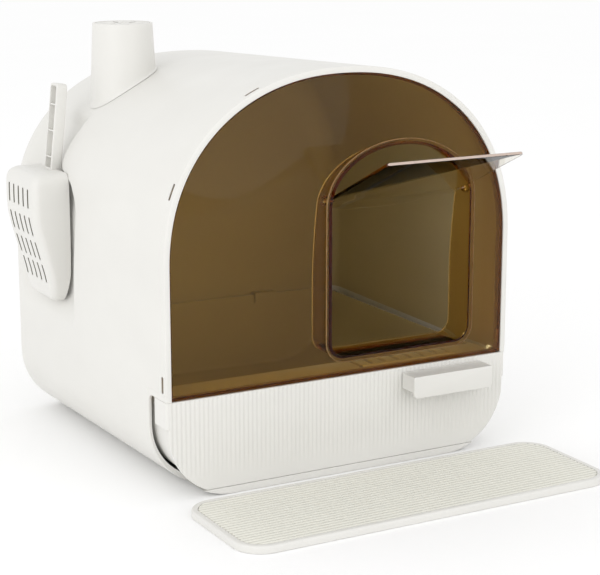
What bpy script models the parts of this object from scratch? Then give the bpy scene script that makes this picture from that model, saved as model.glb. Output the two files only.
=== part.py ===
"""Hooded cat litter box: housing, tinted front with a swinging door, litter drawer, deodoriser tower,
scoop and mat. Metres, +Z up, front towards -Y. The origin is under the middle of the housing's floor."""

import math

import bmesh
import bpy
from mathutils import Euler, Matrix, Vector

# ---- driving dimensions ------------------------------------------------------------------------------
MM = 0.001
GAP = 0.3 * MM                  # between pieces that touch

FRONT_Y = -200 * MM             # plane of the hood's front rim
REAR_Y = 196 * MM
HALF_FRONT, HALF_REAR = 205 * MM, 215.6 * MM
TOP_FRONT, TOP_REAR = 429 * MM, 414.6 * MM
SPRING_Z = 237.3 * MM           # where the straight sides turn into the arch
ARCH_POWER = 2.2                # the arch is a superellipse
CORNER_R = 73 * MM              # lower corners of the section
WALL = 3.2 * MM
RIM = 6.5 * MM                  # thickness of the hood's front rim
RIM_DEPTH = 14 * MM
REAR_ROUND = 12 * MM
ARCH_STEPS = 40

PANEL_Z = 106.2 * MM            # lower edge of the tinted front, upper edge of the drawer
PANEL_T = 3 * MM
SILL_Z = 8.5 * MM               # top of the sill under the drawer
CUT_BACK_Y = -160 * MM          # front edge of the side walls beside the drawer

RECESS_DEPTH = 13.5 * MM        # hollow in the left side behind the scoop
RECESS_FLOOR_Z, RECESS_TOP_Z = 132 * MM, 378 * MM

FLAP_CORNER_R = 5 * MM          # the flap's two free corners
DOOR_X = 68 * MM                # middle of the doorway
DOOR_HALF = 84.5 * MM
DOOR_LOW_Z, DOOR_SPRING_Z, DOOR_TOP_Z = 128.5 * MM, 285 * MM, 345.5 * MM
COLLAR_T = 3 * MM
COLLAR_DEPTH = 36 * MM

HINGE_Y, HINGE_Z = -188 * MM, 292 * MM
FLAP_HALF, FLAP_DROP, FLAP_RISE, FLAP_T = 81 * MM, 123.5 * MM, 46 * MM, 3 * MM
FLAP_OPEN = math.radians(-114.9)    # from hanging, as the flap stands at rest
PIVOT_R = 2.4 * MM

TRAY_HALF, TRAY_WALL = 198 * MM, 2.5 * MM
TRAY_LOW_Z, TRAY_TOP_Z = 9 * MM, 102.5 * MM
TRAY_FRONT_Y, TRAY_REAR_Y = -196 * MM, 186 * MM
TRAY_CORNER_R = 64 * MM
SHELF_FRONT_Y, SHELF_REAR_Y = -172 * MM, -136 * MM  # the tray's shelf at the cat's entry
FASCIA_T = 3.7 * MM
CHEEK_LOW_Z, CHEEK_REAR_Y = 78 * MM, -172 * MM      # the drawer front's short side returns

HANDLE_X = (71 * MM, 171 * MM)
HANDLE_REACH = 25 * MM
HANDLE_TOP_Z, HANDLE_LIP_Z = 100.5 * MM, 76.5 * MM

TOWER_X, TOWER_Y = -121 * MM, 83 * MM
TOWER_TOP_Z = 458.8 * MM
TOWER_R_LOW, TOWER_R_TOP = 38.6 * MM, 33.2 * MM     # at TOWER_LOW_Z and at TOWER_TOP_Z
TOWER_LOW_Z = 350 * MM
TOWER_WALL = 2.6 * MM
CAP_SEAT_Z, CAP_SINK = 449.5 * MM, 0.6 * MM         # the ledge under the cap, and how low its top lies
SPIGOT_R = 31 * MM
SPIGOT_LOW_Z, SPIGOT_WEB_Z = 340 * MM, 412 * MM

SCOOP_Y = 93 * MM
SCOOP_RIM_X = -203.8 * MM
HOOK_Z = 285.5 * MM             # the peg that fastens the scoop's hook

MAT_X, MAT_HALF = 15 * MM, 215.5 * MM
MAT_REAR_Y, MAT_FRONT_Y = -222 * MM, -364.5 * MM
MAT_T, MAT_CORNER_R = 8 * MM, 30 * MM
MAT_BORDER = 6.5 * MM


# ---- scene, materials and small tools ------------------------------------------------------------------
def clear_scene():
    for obj in list(bpy.data.objects):
        bpy.data.objects.remove(obj, do_unlink=True)


def new_collection(name):
    collection = bpy.data.collections.new(name)
    bpy.context.scene.collection.children.link(collection)
    return collection


clear_scene()
PARTS = new_collection("cat_litter_box_with_hood")
CUTTERS = new_collection("cutters")


def plastic(name, colour, roughness, transmission=0.0):
    material = bpy.data.materials.new(name)
    material.use_nodes = True
    shader = material.node_tree.nodes["Principled BSDF"]
    shader.inputs["Base Color"].default_value = (*colour, 1.0)
    shader.inputs["Roughness"].default_value = roughness
    shader.inputs["Metallic"].default_value = 0.0
    shader.inputs["Transmission Weight"].default_value = transmission
    material.diffuse_color = (*colour, 1.0 - 0.5 * transmission)
    return material


def finish_mesh(name, mesh, material=None):
    """Make a part when a material is given, and a cutter when none is."""
    obj = bpy.data.objects.new(name, mesh)
    if material is None:
        CUTTERS.objects.link(obj)
        obj.hide_render = True
        obj.display_type = "WIRE"
    else:
        PARTS.objects.link(obj)
        mesh.materials.append(material)
    return obj


def box(name, low, high, material=None):
    mesh = bpy.data.meshes.new(name)
    bm = bmesh.new()
    bmesh.ops.create_cube(bm, size=1.0)
    middle = (Vector(low) + Vector(high)) / 2
    size = Vector(high) - Vector(low)
    bmesh.ops.transform(bm, matrix=Matrix.Diagonal((*size, 1.0)), verts=bm.verts)
    bm.to_mesh(mesh)
    bm.free()
    obj = finish_mesh(name, mesh, material)
    obj.location = middle
    return obj


def cylinder(name, start, end, radius, material=None, sides=32):
    start, end = Vector(start), Vector(end)
    mesh = bpy.data.meshes.new(name)
    bm = bmesh.new()
    bmesh.ops.create_cone(bm, cap_ends=True, segments=sides, radius1=radius, radius2=radius,
                          depth=(end - start).length)
    bm.to_mesh(mesh)
    bm.free()
    obj = finish_mesh(name, mesh, material)
    obj.location = (start + end) / 2
    obj.rotation_euler = (end - start).to_track_quat("Z", "Y").to_euler()
    return obj


PLANES = {"xy": (0, 0, 0), "xz": (math.pi / 2, 0, 0), "yz": (math.pi / 2, 0, math.pi / 2)}


def plate(name, outline, plane, low, high, material=None):
    """A flat outline in the plane, thick from low to high along the plane's normal axis."""
    curve = bpy.data.curves.new(name + "_curve", "CURVE")
    curve.dimensions = "2D"
    curve.fill_mode = "BOTH"
    curve.extrude = (high - low) / 2
    spline = curve.splines.new("POLY")
    spline.points.add(len(outline) - 1)
    for point, (u, v) in zip(spline.points, outline):
        point.co = (u, v, 0.0, 1.0)
    spline.use_cyclic_u = True
    guide = bpy.data.objects.new(name + "_guide", curve)
    CUTTERS.objects.link(guide)
    mesh = bpy.data.meshes.new_from_object(guide.evaluated_get(bpy.context.evaluated_depsgraph_get()))
    bpy.data.objects.remove(guide, do_unlink=True)
    bm = bmesh.new()
    bm.from_mesh(mesh)
    bmesh.ops.remove_doubles(bm, verts=bm.verts, dist=0.00001)
    bmesh.ops.recalc_face_normals(bm, faces=bm.faces)
    bm.to_mesh(mesh)
    bm.free()
    mesh.materials.clear()
    obj = finish_mesh(name, mesh, material)
    middle = (low + high) / 2
    obj.location = {"xy": (0, 0, middle), "xz": (0, middle, 0), "yz": (middle, 0, 0)}[plane]
    obj.rotation_euler = PLANES[plane]
    return obj


def loft(name, rings, material=None):
    """A closed solid through rings of points, each ring with the same number of points."""
    mesh = bpy.data.meshes.new(name)
    bm = bmesh.new()
    rows = [[bm.verts.new(point) for point in ring] for ring in rings]
    count = len(rows[0])
    for lower, upper in zip(rows, rows[1:]):
        for i in range(count):
            j = (i + 1) % count
            bm.faces.new((lower[i], lower[j], upper[j], upper[i]))
    bm.faces.new(rows[0][::-1])
    bm.faces.new(rows[-1])
    bmesh.ops.recalc_face_normals(bm, faces=bm.faces)
    bm.to_mesh(mesh)
    bm.free()
    return finish_mesh(name, mesh, material)


def turned(name, profile, axis_xy, material=None, steps=32):
    """A closed turned solid: profile of (radius, z) points, down the outside and back up the inside."""
    mesh = bpy.data.meshes.new(name)
    bm = bmesh.new()
    verts = [bm.verts.new((radius, 0.0, z)) for radius, z in profile]
    for i in range(len(verts) - 1):
        bm.edges.new((verts[i], verts[i + 1]))
    if min(profile[0][0], profile[-1][0]) > 0.0:
        bm.edges.new((verts[-1], verts[0]))
    bm.to_mesh(mesh)
    bm.free()
    obj = finish_mesh(name, mesh, material)
    obj.location = (*axis_xy, 0.0)
    screw = obj.modifiers.new("turn", "SCREW")
    screw.steps = screw.render_steps = steps
    screw.use_merge_vertices = True
    screw.merge_threshold = 0.00001
    return obj


def combine(obj, other, operation):
    """Cut, join or intersect obj with other, or with each of a list."""
    for tool in other if isinstance(other, (list, tuple)) else [other]:
        modifier = obj.modifiers.new(operation.lower() + "_" + tool.name, "BOOLEAN")
        modifier.operation = operation
        modifier.solver = "EXACT"
        modifier.object = tool


def cut(obj, other):
    combine(obj, other, "DIFFERENCE")


def join(obj, other):
    combine(obj, other, "UNION")


def arc(centre, radius, start, end, steps):
    """Points on an arc, angles in degrees."""
    angles = [math.radians(start + (end - start) * i / steps) for i in range(steps + 1)]
    return [(centre[0] + radius * math.cos(a), centre[1] + radius * math.sin(a)) for a in angles]


def arch(middle, half, spring, top, power, steps):
    """A superellipse arch from its right foot over the top to its left foot."""
    points = []
    for i in range(steps + 1):
        angle = math.pi * i / steps
        side = math.copysign(abs(math.cos(angle)) ** (2 / power), math.cos(angle))
        rise = max(math.sin(angle), 0.0) ** (2 / power)
        points.append((middle + half * side, spring + (top - spring) * rise))
    return points


def rounded_box_outline(low, high, radius, steps=6):
    (x0, y0), (x1, y1) = low, high
    outline = arc((x1 - radius, y1 - radius), radius, 0, 90, steps)
    outline += arc((x0 + radius, y1 - radius), radius, 90, 180, steps)
    outline += arc((x0 + radius, y0 + radius), radius, 180, 270, steps)
    outline += arc((x1 - radius, y0 + radius), radius, 270, 360, steps)
    return outline


# ---- the hood's section ------------------------------------------------------------------------------
def hood_size(y):
    t = (y - FRONT_Y) / (REAR_Y - FRONT_Y)
    return HALF_FRONT + (HALF_REAR - HALF_FRONT) * t, TOP_FRONT + (TOP_REAR - TOP_FRONT) * t


def hood_section(y, inset=0.0, floor=None, side_steps=1, steps=ARCH_STEPS):
    """Closed section of the hood at y as (x, z) points, moved inwards by inset."""
    half, top = hood_size(y)
    half, top = half - inset, top - inset
    base = inset if floor is None else floor
    radius = CORNER_R - max(inset, base)
    outline = arch(0.0, half, SPRING_Z, top, ARCH_POWER, steps)
    foot = base + radius
    left = [(-half, SPRING_Z + (foot - SPRING_Z) * i / side_steps) for i in range(1, side_steps)]
    right = [(half, z) for _, z in reversed(left)]
    corner_left = arc((-half + radius, foot), radius, 180, 270, 7)
    corner_right = arc((half - radius, foot), radius, 270, 360, 7)
    return outline + left + corner_left + corner_right + right


def hood_ring(y, inset=0.0, floor=None, section_y=None):
    """The hood's section as points at y; section_y takes the section's size from another place."""
    size_y = y if section_y is None else section_y
    return [Vector((x, y, z)) for x, z in hood_section(size_y, inset, floor)]


def smooth(low, high, value):
    """0 at low and 1 at high, with a smooth run between them; low may be the greater."""
    t = min(max((value - low) / (high - low), 0.0), 1.0)
    return t * t * (3 - 2 * t)


def recess_depth(y, z):
    """How far the recess floor lies under the hood's side; it is negative where there is no recess."""
    along = 1.0 - smooth(148 * MM, 184 * MM, y)
    up = smooth(RECESS_FLOOR_Z, 170 * MM, z) * (1.0 - smooth(318 * MM, RECESS_TOP_Z, z))
    return RECESS_DEPTH * along * up - 1.5 * MM


def recess_core(name, extra):
    """The hood's section drawn in by the recess, and by extra more for the inside of the wall."""
    rings = []
    for i in range(16):
        y = (5 + 13 * i) * MM
        ring = []
        for x, z in hood_section(y, 0.0, None, side_steps=8, steps=48):
            depth = recess_depth(y, z) + extra if x < 0 else extra
            ring.append(Vector((x - math.copysign(1.0, x) * min(depth, abs(x)), y, z)))
        rings.append(ring)
    return loft(name, rings)


def recess_cutter(name, grow):
    """What the recess takes away: its side outline, less the core that stays."""
    outline = [(24, 136), (22, 200), (16, 240), (15, 262), (20, 276), (30, 286), (42, 295.5), (60, 302),
               (74, 310), (77, 325), (75, 340), (72, 356), (72, 384), (192, 384), (192, 136)]
    middle = (108, 262)
    points = []
    for y, z in outline:
        points.append(((y + math.copysign(grow / MM, y - middle[0])) * MM,
                       (z + math.copysign(grow / MM, z - middle[1])) * MM))
    block = plate(name, points, "yz", -260 * MM, -120 * MM)
    cut(block, recess_core(name + "_core", grow))
    return block


# ---- housing -------------------------------------------------------------------------------------------
def make_housing(material):
    rings = [hood_ring(FRONT_Y), hood_ring(REAR_Y - REAR_ROUND)]
    for i in range(1, 5):
        angle = math.pi / 2 * i / 4
        y = REAR_Y - REAR_ROUND + REAR_ROUND * math.sin(angle)
        rings.append(hood_ring(y, REAR_ROUND * (1 - math.cos(angle))))
    housing = loft("housing", rings, material)
    cut(housing, recess_cutter("recess", 0.0))

    rim_back = FRONT_Y + RIM_DEPTH
    inner_rear = REAR_Y - WALL
    cavity_rings = [
        hood_ring(FRONT_Y - 2 * MM, RIM, SILL_Z, FRONT_Y),
        hood_ring(rim_back, RIM, SILL_Z, FRONT_Y),
        hood_ring(rim_back + 3 * MM, WALL, SILL_Z),
        hood_ring(CUT_BACK_Y + 3 * MM, WALL, SILL_Z),
        hood_ring(CUT_BACK_Y + 8 * MM, WALL),
        hood_ring(inner_rear - 9 * MM, WALL),
        hood_ring(inner_rear - 2.5 * MM, WALL + 2.5 * MM),
        hood_ring(inner_rear, WALL + 9 * MM),
    ]
    cavity = loft("cavity", cavity_rings)
    cut(cavity, recess_cutter("recess_inside", WALL))
    cut(housing, cavity)

    beside_drawer = box("beside_drawer", (-0.25, FRONT_Y - 5 * MM, SILL_Z - 0.5 * MM),
                        (0.25, CUT_BACK_Y, PANEL_Z))
    cut(housing, beside_drawer)
    roof_hole = cylinder("roof_hole", (TOWER_X, TOWER_Y, 0.32), (TOWER_X, TOWER_Y, 0.45), SPIGOT_R + GAP)
    cut(housing, roof_hole)
    cut(housing, [snap_block("slit_" + tag, place, 17 * MM, 4 * MM, -3 * MM, RIM + 3 * MM)
                  for tag, place in snap_places().items()])
    for side in (-1, 1):
        rail = box("drawer_rail_%d" % side, (side * 110 * MM - 6 * MM, -145 * MM, WALL - 1 * MM),
                   (side * 110 * MM + 6 * MM, 178 * MM, TRAY_LOW_Z - GAP))
        join(housing, rail)
    cut(housing, cylinder("hook_peg_hole", (-0.215, SCOOP_Y, HOOK_Z), (-0.185, SCOOP_Y, HOOK_Z), 4 * MM + GAP,
                          sides=24))
    return housing


# ---- tinted front --------------------------------------------------------------------------------------
def snap_places():
    """Where the front's snaps stand in the rim: point on the outline, tangent and outward normal."""
    half, top = hood_size(FRONT_Y)
    places = {}
    for degrees in (22, 62, 118, 158):
        angle = math.radians(degrees)
        ends = []
        for a in (angle - 0.01, angle, angle + 0.01):
            x = half * math.copysign(abs(math.cos(a)) ** (2 / ARCH_POWER), math.cos(a))
            ends.append(Vector((x, 0, SPRING_Z + (top - SPRING_Z) * math.sin(a) ** (2 / ARCH_POWER))))
        tangent = (ends[2] - ends[0]).normalized()
        places["arch_%d" % degrees] = (ends[1], tangent, Vector((tangent.z, 0, -tangent.x)))
    for side, tag in ((-1, "left"), (1, "right")):
        places[tag] = (Vector((side * half, 0, 123 * MM)), Vector((0, 0, side)), Vector((side, 0, 0)))
    return places


def snap_block(name, place, length, thick, low, high):
    """A block along the rim, from low to high inwards of the outline."""
    point, tangent, normal = place
    block = box(name, (-length / 2, -thick / 2, -(high - low) / 2), (length / 2, thick / 2, (high - low) / 2))
    middle = point - normal * (low + high) / 2
    turn = Matrix((tangent, Vector((0, 1, 0)), tangent.cross(Vector((0, 1, 0))))).transposed()
    block.matrix_world = Matrix.Translation((middle.x, FRONT_Y + 8 * MM, middle.z)) @ turn.to_4x4()
    return block


def panel_outline(inset, low_z):
    half, top = hood_size(FRONT_Y)
    outline = arch(0.0, half - inset, SPRING_Z, top - inset, ARCH_POWER, ARCH_STEPS)
    return outline + [(-half + inset, low_z), (half - inset, low_z)]


def door_outline(grow, steps=24):
    """The doorway's outline, moved outwards by grow."""
    outline = arch(DOOR_X, DOOR_HALF + grow, DOOR_SPRING_Z, DOOR_TOP_Z + grow, 2.0, steps)
    radius = 15 * MM + grow
    low = DOOR_LOW_Z - grow
    outline += arc((DOOR_X - DOOR_HALF - grow + radius, low + radius), radius, 180, 270, 5)
    outline += arc((DOOR_X + DOOR_HALF + grow - radius, low + radius), radius, 270, 360, 5)
    return outline


def make_front_panel(material):
    face_y = FRONT_Y + 1 * MM
    back_y = FRONT_Y + RIM_DEPTH - 1 * MM
    edge = RIM + GAP
    panel = plate("front_panel", panel_outline(edge, PANEL_Z + GAP), "xz", face_y, back_y, material)
    hollow = plate("panel_hollow", panel_outline(edge + 2.2 * MM, PANEL_Z + 2.5 * MM), "xz",
                   face_y + PANEL_T, back_y + 2 * MM)
    cut(panel, hollow)
    doorway = plate("panel_doorway", door_outline(COLLAR_T + GAP), "xz", face_y - 2 * MM, back_y)
    cut(panel, doorway)
    join(panel, [snap_block("snap_" + tag, place, 16 * MM, 3.2 * MM, 0.6 * MM, RIM + 1.6 * MM)
                 for tag, place in snap_places().items()])
    return panel


def make_door_collar(material):
    back_y = FRONT_Y + COLLAR_DEPTH
    collar = plate("door_collar", door_outline(COLLAR_T), "xz", FRONT_Y - 1 * MM, back_y, material)
    lip = plate("collar_lip", door_outline(6.5 * MM), "xz", FRONT_Y - 1.6 * MM, FRONT_Y + 1 * MM - GAP)
    join(collar, lip)
    cut(collar, plate("collar_hole", door_outline(0.0), "xz", FRONT_Y - 5 * MM, back_y + 5 * MM))
    # the tunnel is deep at the cat's feet and shallow over its back
    curve = []
    for i in range(13):
        z = (200 + 150 * i / 12) * MM
        rise = min((z - 0.2) / 0.1495, 1.0)
        curve.append((FRONT_Y + 8 * MM + (COLLAR_DEPTH - 8 * MM) * (1 - rise ** 1.5) ** 0.667, z))
    behind = plate("collar_behind", [(-0.15, 0.2)] + curve + [(-0.15, 0.35)], "yz", -0.05, 0.2)
    cut(collar, behind)
    bore = cylinder("bush_bore", (DOOR_X - 0.1, HINGE_Y, HINGE_Z), (DOOR_X + 0.1, HINGE_Y, HINGE_Z),
                    4.2 * MM + GAP, sides=24)
    cut(collar, bore)
    return collar


def make_flap_bush(side, name, material):
    """A short bush in the collar's wall that one of the flap's pivots turns in."""
    inner = DOOR_X + side * (DOOR_HALF - 0.6 * MM)
    outer = DOOR_X + side * (DOOR_HALF + COLLAR_T + 1.6 * MM)
    bush = cylinder(name, (inner, HINGE_Y, HINGE_Z), (outer, HINGE_Y, HINGE_Z), 4.2 * MM, material, sides=24)
    head = cylinder(name + "_head", (outer - 1.2 * MM * side, HINGE_Y, HINGE_Z),
                    (outer, HINGE_Y, HINGE_Z), 6 * MM, sides=24)
    join(bush, head)
    cut(bush, cylinder(name + "_bore", (inner - side * 2 * MM, HINGE_Y, HINGE_Z),
                       (outer + side * 2 * MM, HINGE_Y, HINGE_Z), PIVOT_R + GAP, sides=24))
    return bush


def make_door_flap(material):
    """The flap, drawn hanging about its hinge and then turned open with its empty."""
    hinge = bpy.data.objects.new("flap_hinge", None)
    PARTS.objects.link(hinge)
    hinge.location = (DOOR_X, HINGE_Y, HINGE_Z)
    radius = FLAP_CORNER_R
    outline = arch(0.0, FLAP_HALF, 0.0, FLAP_RISE, 2.0, 24)
    outline += arc((-FLAP_HALF + radius, -FLAP_DROP + radius), radius, 180, 270, 5)
    outline += arc((FLAP_HALF - radius, -FLAP_DROP + radius), radius, 270, 360, 5)
    flap = plate("door_flap", outline, "xz", -FLAP_T / 2, FLAP_T / 2, material)
    reach = DOOR_HALF + COLLAR_T + 0.6 * MM
    pivots = []
    for side, tag in ((-1, "left"), (1, "right")):
        pivots.append(cylinder("flap_pivot_" + tag, (side * (FLAP_HALF - 6 * MM), 0, 0),
                               (side * reach, 0, 0), PIVOT_R, sides=24))
    join(flap, pivots)
    for piece in [flap] + pivots:
        piece.parent = hinge
    hinge.rotation_euler = Euler((FLAP_OPEN, 0, 0))
    return flap


# ---- litter drawer ---------------------------------------------------------------------------------------
def tray_outline(inset, low, high):
    radius = TRAY_CORNER_R - inset
    half = TRAY_HALF - inset
    outline = [(half, high), (-half, high)]
    outline += arc((-half + radius, low + radius), radius, 180, 270, 7)
    outline += arc((half - radius, low + radius), radius, 270, 360, 7)
    return outline


def make_drawer_tray(material):
    tray = plate("drawer_tray", tray_outline(0.0, TRAY_LOW_Z, TRAY_TOP_Z), "xz", TRAY_FRONT_Y, TRAY_REAR_Y,
                 material)
    hollow = plate("tray_hollow", tray_outline(TRAY_WALL, TRAY_LOW_Z + TRAY_WALL, 0.13), "xz",
                   TRAY_FRONT_Y + TRAY_WALL, TRAY_REAR_Y - TRAY_WALL)
    cut(tray, hollow)
    half = TRAY_HALF - 1 * MM
    shelf_t = 2.5 * MM
    gutter_z = 86.5 * MM
    shelf = box("tray_shelf", (-half, SHELF_FRONT_Y, TRAY_TOP_Z - shelf_t), (half, SHELF_REAR_Y, TRAY_TOP_Z))
    web = box("tray_shelf_web", (-half, SHELF_FRONT_Y, gutter_z + 1.5 * MM),
              (half, SHELF_FRONT_Y + 2.5 * MM, TRAY_TOP_Z - 1 * MM))
    gutter = box("tray_gutter", (-half, TRAY_FRONT_Y + 1 * MM, gutter_z),
                 (half, SHELF_FRONT_Y + 2 * MM, gutter_z + 2.5 * MM))
    join(tray, [shelf, web, gutter])
    return tray


def fascia_outline(inset):
    half = HALF_FRONT - inset
    radius = CORNER_R - inset
    low = TRAY_LOW_Z
    # the lower corners follow the hood's section, cut off level with the tray's underside
    end = math.degrees(math.asin((low - radius - inset) / radius))
    left = [(-x, z) for x, z in arc((half - radius, radius + inset), radius, end, 0, 8)]
    right = arc((half - radius, radius + inset), radius, end, 0, 8)
    high = PANEL_Z - GAP
    return [(half, high), (-half, high)] + left[::-1] + right


def make_drawer_front(material):
    fascia = plate("drawer_front", fascia_outline(3 * MM), "xz", FRONT_Y, FRONT_Y + FASCIA_T, material)
    for side in (-1, 1):
        low_x, high_x = sorted((side * 199 * MM, side * 204.8 * MM))
        cheek = box("drawer_cheek_%d" % side, (low_x, FRONT_Y + 1 * MM, CHEEK_LOW_Z),
                    (high_x, CHEEK_REAR_Y, PANEL_Z - GAP))
        join(fascia, cheek)
    return fascia


def make_drawer_handle(material):
    """A hooded pull: top, two cheeks and a deeper front lip, open underneath."""
    x0, x1 = HANDLE_X
    back_y = FRONT_Y - GAP
    front_y = FRONT_Y - HANDLE_REACH
    hood = box("drawer_handle", (x0, front_y + 1 * MM, 83 * MM), (x1, back_y, HANDLE_TOP_Z), material)
    lip_outline = rounded_box_outline((x0, HANDLE_LIP_Z), (x1, HANDLE_TOP_Z - 1 * MM), 5 * MM, 4)
    join(hood, plate("handle_lip", lip_outline, "xz", front_y, front_y + 3.5 * MM))
    wall = 3 * MM
    cut(hood, box("handle_hollow", (x0 + wall, front_y + 3.5 * MM, 70 * MM),
                  (x1 - wall, back_y + 5 * MM, HANDLE_TOP_Z - wall)))
    return hood


def make_entry_grate(material):
    """A row of open cells on the tray's shelf, below the right part of the doorway."""
    cells, pitch, rib = 7, 16.2 * MM, 3 * MM
    low_x, low_z = 39 * MM, TRAY_TOP_Z + GAP
    high_x = low_x + cells * pitch + rib
    front_y, rear_y = SHELF_FRONT_Y + 1 * MM, SHELF_REAR_Y - 1 * MM
    grate = box("entry_grate", (low_x, front_y, low_z), (high_x, rear_y, low_z + 2.5 * MM), material)
    for i in range(cells):
        x = low_x + rib + pitch * i
        cut(grate, box("grate_cell_%d" % i, (x, front_y + rib, low_z - 0.01),
                       (x + pitch - rib, rear_y - rib, low_z + 0.01)))
    return grate


def make_drawer_stop(side, name, material):
    """A hooked clip over the tray's rear wall."""
    x = side * 120 * MM
    clip = box(name, (x - 12 * MM, TRAY_REAR_Y + GAP, 84 * MM),
               (x + 12 * MM, TRAY_REAR_Y + 2.8 * MM, TRAY_TOP_Z + 3 * MM), material)
    join(clip, box(name + "_top", (x - 12 * MM, TRAY_REAR_Y - 6 * MM, TRAY_TOP_Z + GAP),
                   (x + 12 * MM, TRAY_REAR_Y + 2 * MM, TRAY_TOP_Z + 3 * MM)))
    join(clip, box(name + "_inner", (x - 12 * MM, TRAY_REAR_Y - 6 * MM, 92 * MM),
                   (x + 12 * MM, TRAY_REAR_Y - 3 * MM, TRAY_TOP_Z + 2 * MM)))
    return clip


# ---- deodoriser tower ----------------------------------------------------------------------------------
def tower_radius(z):
    return TOWER_R_LOW + (TOWER_R_TOP - TOWER_R_LOW) * (z - TOWER_LOW_Z) / (TOWER_TOP_Z - TOWER_LOW_Z)


def make_tower_body(material):
    wall = TOWER_WALL
    web_top = SPIGOT_WEB_Z + 2.5 * MM
    ledge_low = CAP_SEAT_Z - 2.5 * MM
    ledge_in = SPIGOT_R - 2.8 * MM
    spigot_in = SPIGOT_R - 2.4 * MM
    profile = [
        (tower_radius(TOWER_TOP_Z), TOWER_TOP_Z),
        (tower_radius(TOWER_LOW_Z), TOWER_LOW_Z),
        (tower_radius(TOWER_LOW_Z) - wall, TOWER_LOW_Z),
        (tower_radius(SPIGOT_WEB_Z) - wall, SPIGOT_WEB_Z),
        (SPIGOT_R, SPIGOT_WEB_Z),
        (SPIGOT_R, SPIGOT_LOW_Z),
        (spigot_in, SPIGOT_LOW_Z),
        (spigot_in, web_top),
        (tower_radius(web_top) - wall, web_top),
        (tower_radius(ledge_low) - wall, ledge_low),
        (ledge_in, ledge_low),
        (ledge_in, CAP_SEAT_Z),
        (tower_radius(CAP_SEAT_Z) - wall, CAP_SEAT_Z),
        (tower_radius(TOWER_TOP_Z) - wall, TOWER_TOP_Z),
    ]
    tower = turned("tower_body", profile, (TOWER_X, TOWER_Y), material, steps=40)
    rings = [hood_ring(y, -GAP) for y in (FRONT_Y, REAR_Y - REAR_ROUND)]
    under = loft("under_tower", rings)
    hole = cylinder("under_tower_hole", (TOWER_X, TOWER_Y, 0.3), (TOWER_X, TOWER_Y, 0.46), SPIGOT_R + 1.5 * MM,
                    sides=40)
    cut(under, hole)
    cut(tower, under)
    return tower


CAP_HOLE_STEP, CAP_HOLE_R = 5 * MM, 1.8 * MM    # the cap's two small round holes


def make_vent_cap(material):
    """A shallow cup, upside down, that stands on the ledge inside the tower's top."""
    edge = tower_radius(TOWER_TOP_Z) - TOWER_WALL - GAP
    low = CAP_SEAT_Z + GAP
    top = TOWER_TOP_Z - CAP_SINK
    rounding = 0.8 * MM
    profile = [(0.0, top - 0.9 * MM), (12 * MM, top - 0.6 * MM), (edge - 4 * MM, top)]
    profile += arc((edge - rounding, top - rounding), rounding, 90, 0, 3)
    profile += [(edge, low), (edge - 1.8 * MM, low), (edge - 1.8 * MM, top - 2.8 * MM), (0.0, top - 3.2 * MM)]
    cap = turned("vent_cap", profile, (TOWER_X, TOWER_Y), material, steps=40)
    vents = []
    for i in range(6):
        angle = math.radians(60 * i + 30)
        x = TOWER_X + 19 * MM * math.cos(angle)
        y = TOWER_Y + 19 * MM * math.sin(angle)
        vent = box("vent_slot_%d" % i, (-8 * MM, -1.6 * MM, -12 * MM), (8 * MM, 1.6 * MM, 12 * MM))
        vent.location = (x, y, top)
        vent.rotation_euler = (0, 0, angle)
        vents.append(vent)
    for side in (-1, 1):
        y = TOWER_Y + side * CAP_HOLE_STEP
        vents.append(cylinder("cap_hole_%d" % side, (TOWER_X, y, top - 0.02), (TOWER_X, y, top + 0.02),
                              CAP_HOLE_R, sides=12))
    cut(cap, vents)
    return cap


def make_filter_basket(material):
    """A cup that hangs in the tower's spigot on its flange."""
    outside = SPIGOT_R - 2.4 * MM - 0.6 * MM
    seat = SPIGOT_WEB_Z + 2.5 * MM + GAP
    low = SPIGOT_LOW_Z + 4 * MM
    profile = [(31.6 * MM, seat + 2 * MM), (31.6 * MM, seat), (outside, seat), (outside, low), (0.0, low),
               (0.0, low + 2 * MM), (outside - 2 * MM, low + 2 * MM), (outside - 2 * MM, seat + 2 * MM)]
    basket = turned("filter_basket", profile, (TOWER_X, TOWER_Y), material, steps=32)
    slots = [box("basket_slot_%d" % i, (TOWER_X + (9 * i - 20.5) * MM, TOWER_Y - 15 * MM, low - 0.01),
                 (TOWER_X + (9 * i - 15.5) * MM, TOWER_Y + 15 * MM, low + 0.01)) for i in range(5)]
    cut(basket, slots)
    return basket


def make_carbon_filter(material):
    low = SPIGOT_LOW_Z + 6.4 * MM
    return cylinder("carbon_filter", (TOWER_X, TOWER_Y, low), (TOWER_X, TOWER_Y, SPIGOT_WEB_Z - 4 * MM), 25 * MM,
                    material, sides=32)


def make_tower_ring(material):
    """The ring that locks the tower's spigot from inside the hood."""
    inner = SPIGOT_R + GAP
    low, high = SPIGOT_LOW_Z + 1.5 * MM, SPIGOT_LOW_Z + 7.5 * MM
    return turned("tower_ring", [(36.5 * MM, high), (36.5 * MM, low), (inner, low), (inner, high)],
                  (TOWER_X, TOWER_Y), material, steps=32)


# ---- scoop ---------------------------------------------------------------------------------------------
def scoop_ring(z, bottom_x, rim_x, half, radius, steps=5):
    """A section of the bowl at z: a U with rounded corners, closed across its open side."""
    points = [(rim_x, SCOOP_Y - half)]
    points += [(x, y) for x, y in arc((bottom_x + radius, SCOOP_Y - half + radius), radius, 270, 180, steps)]
    points += [(x, y) for x, y in arc((bottom_x + radius, SCOOP_Y + half - radius), radius, 180, 90, steps)]
    points += [(rim_x, SCOOP_Y + half)]
    return [Vector((x, y, z)) for x, y in points]


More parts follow.
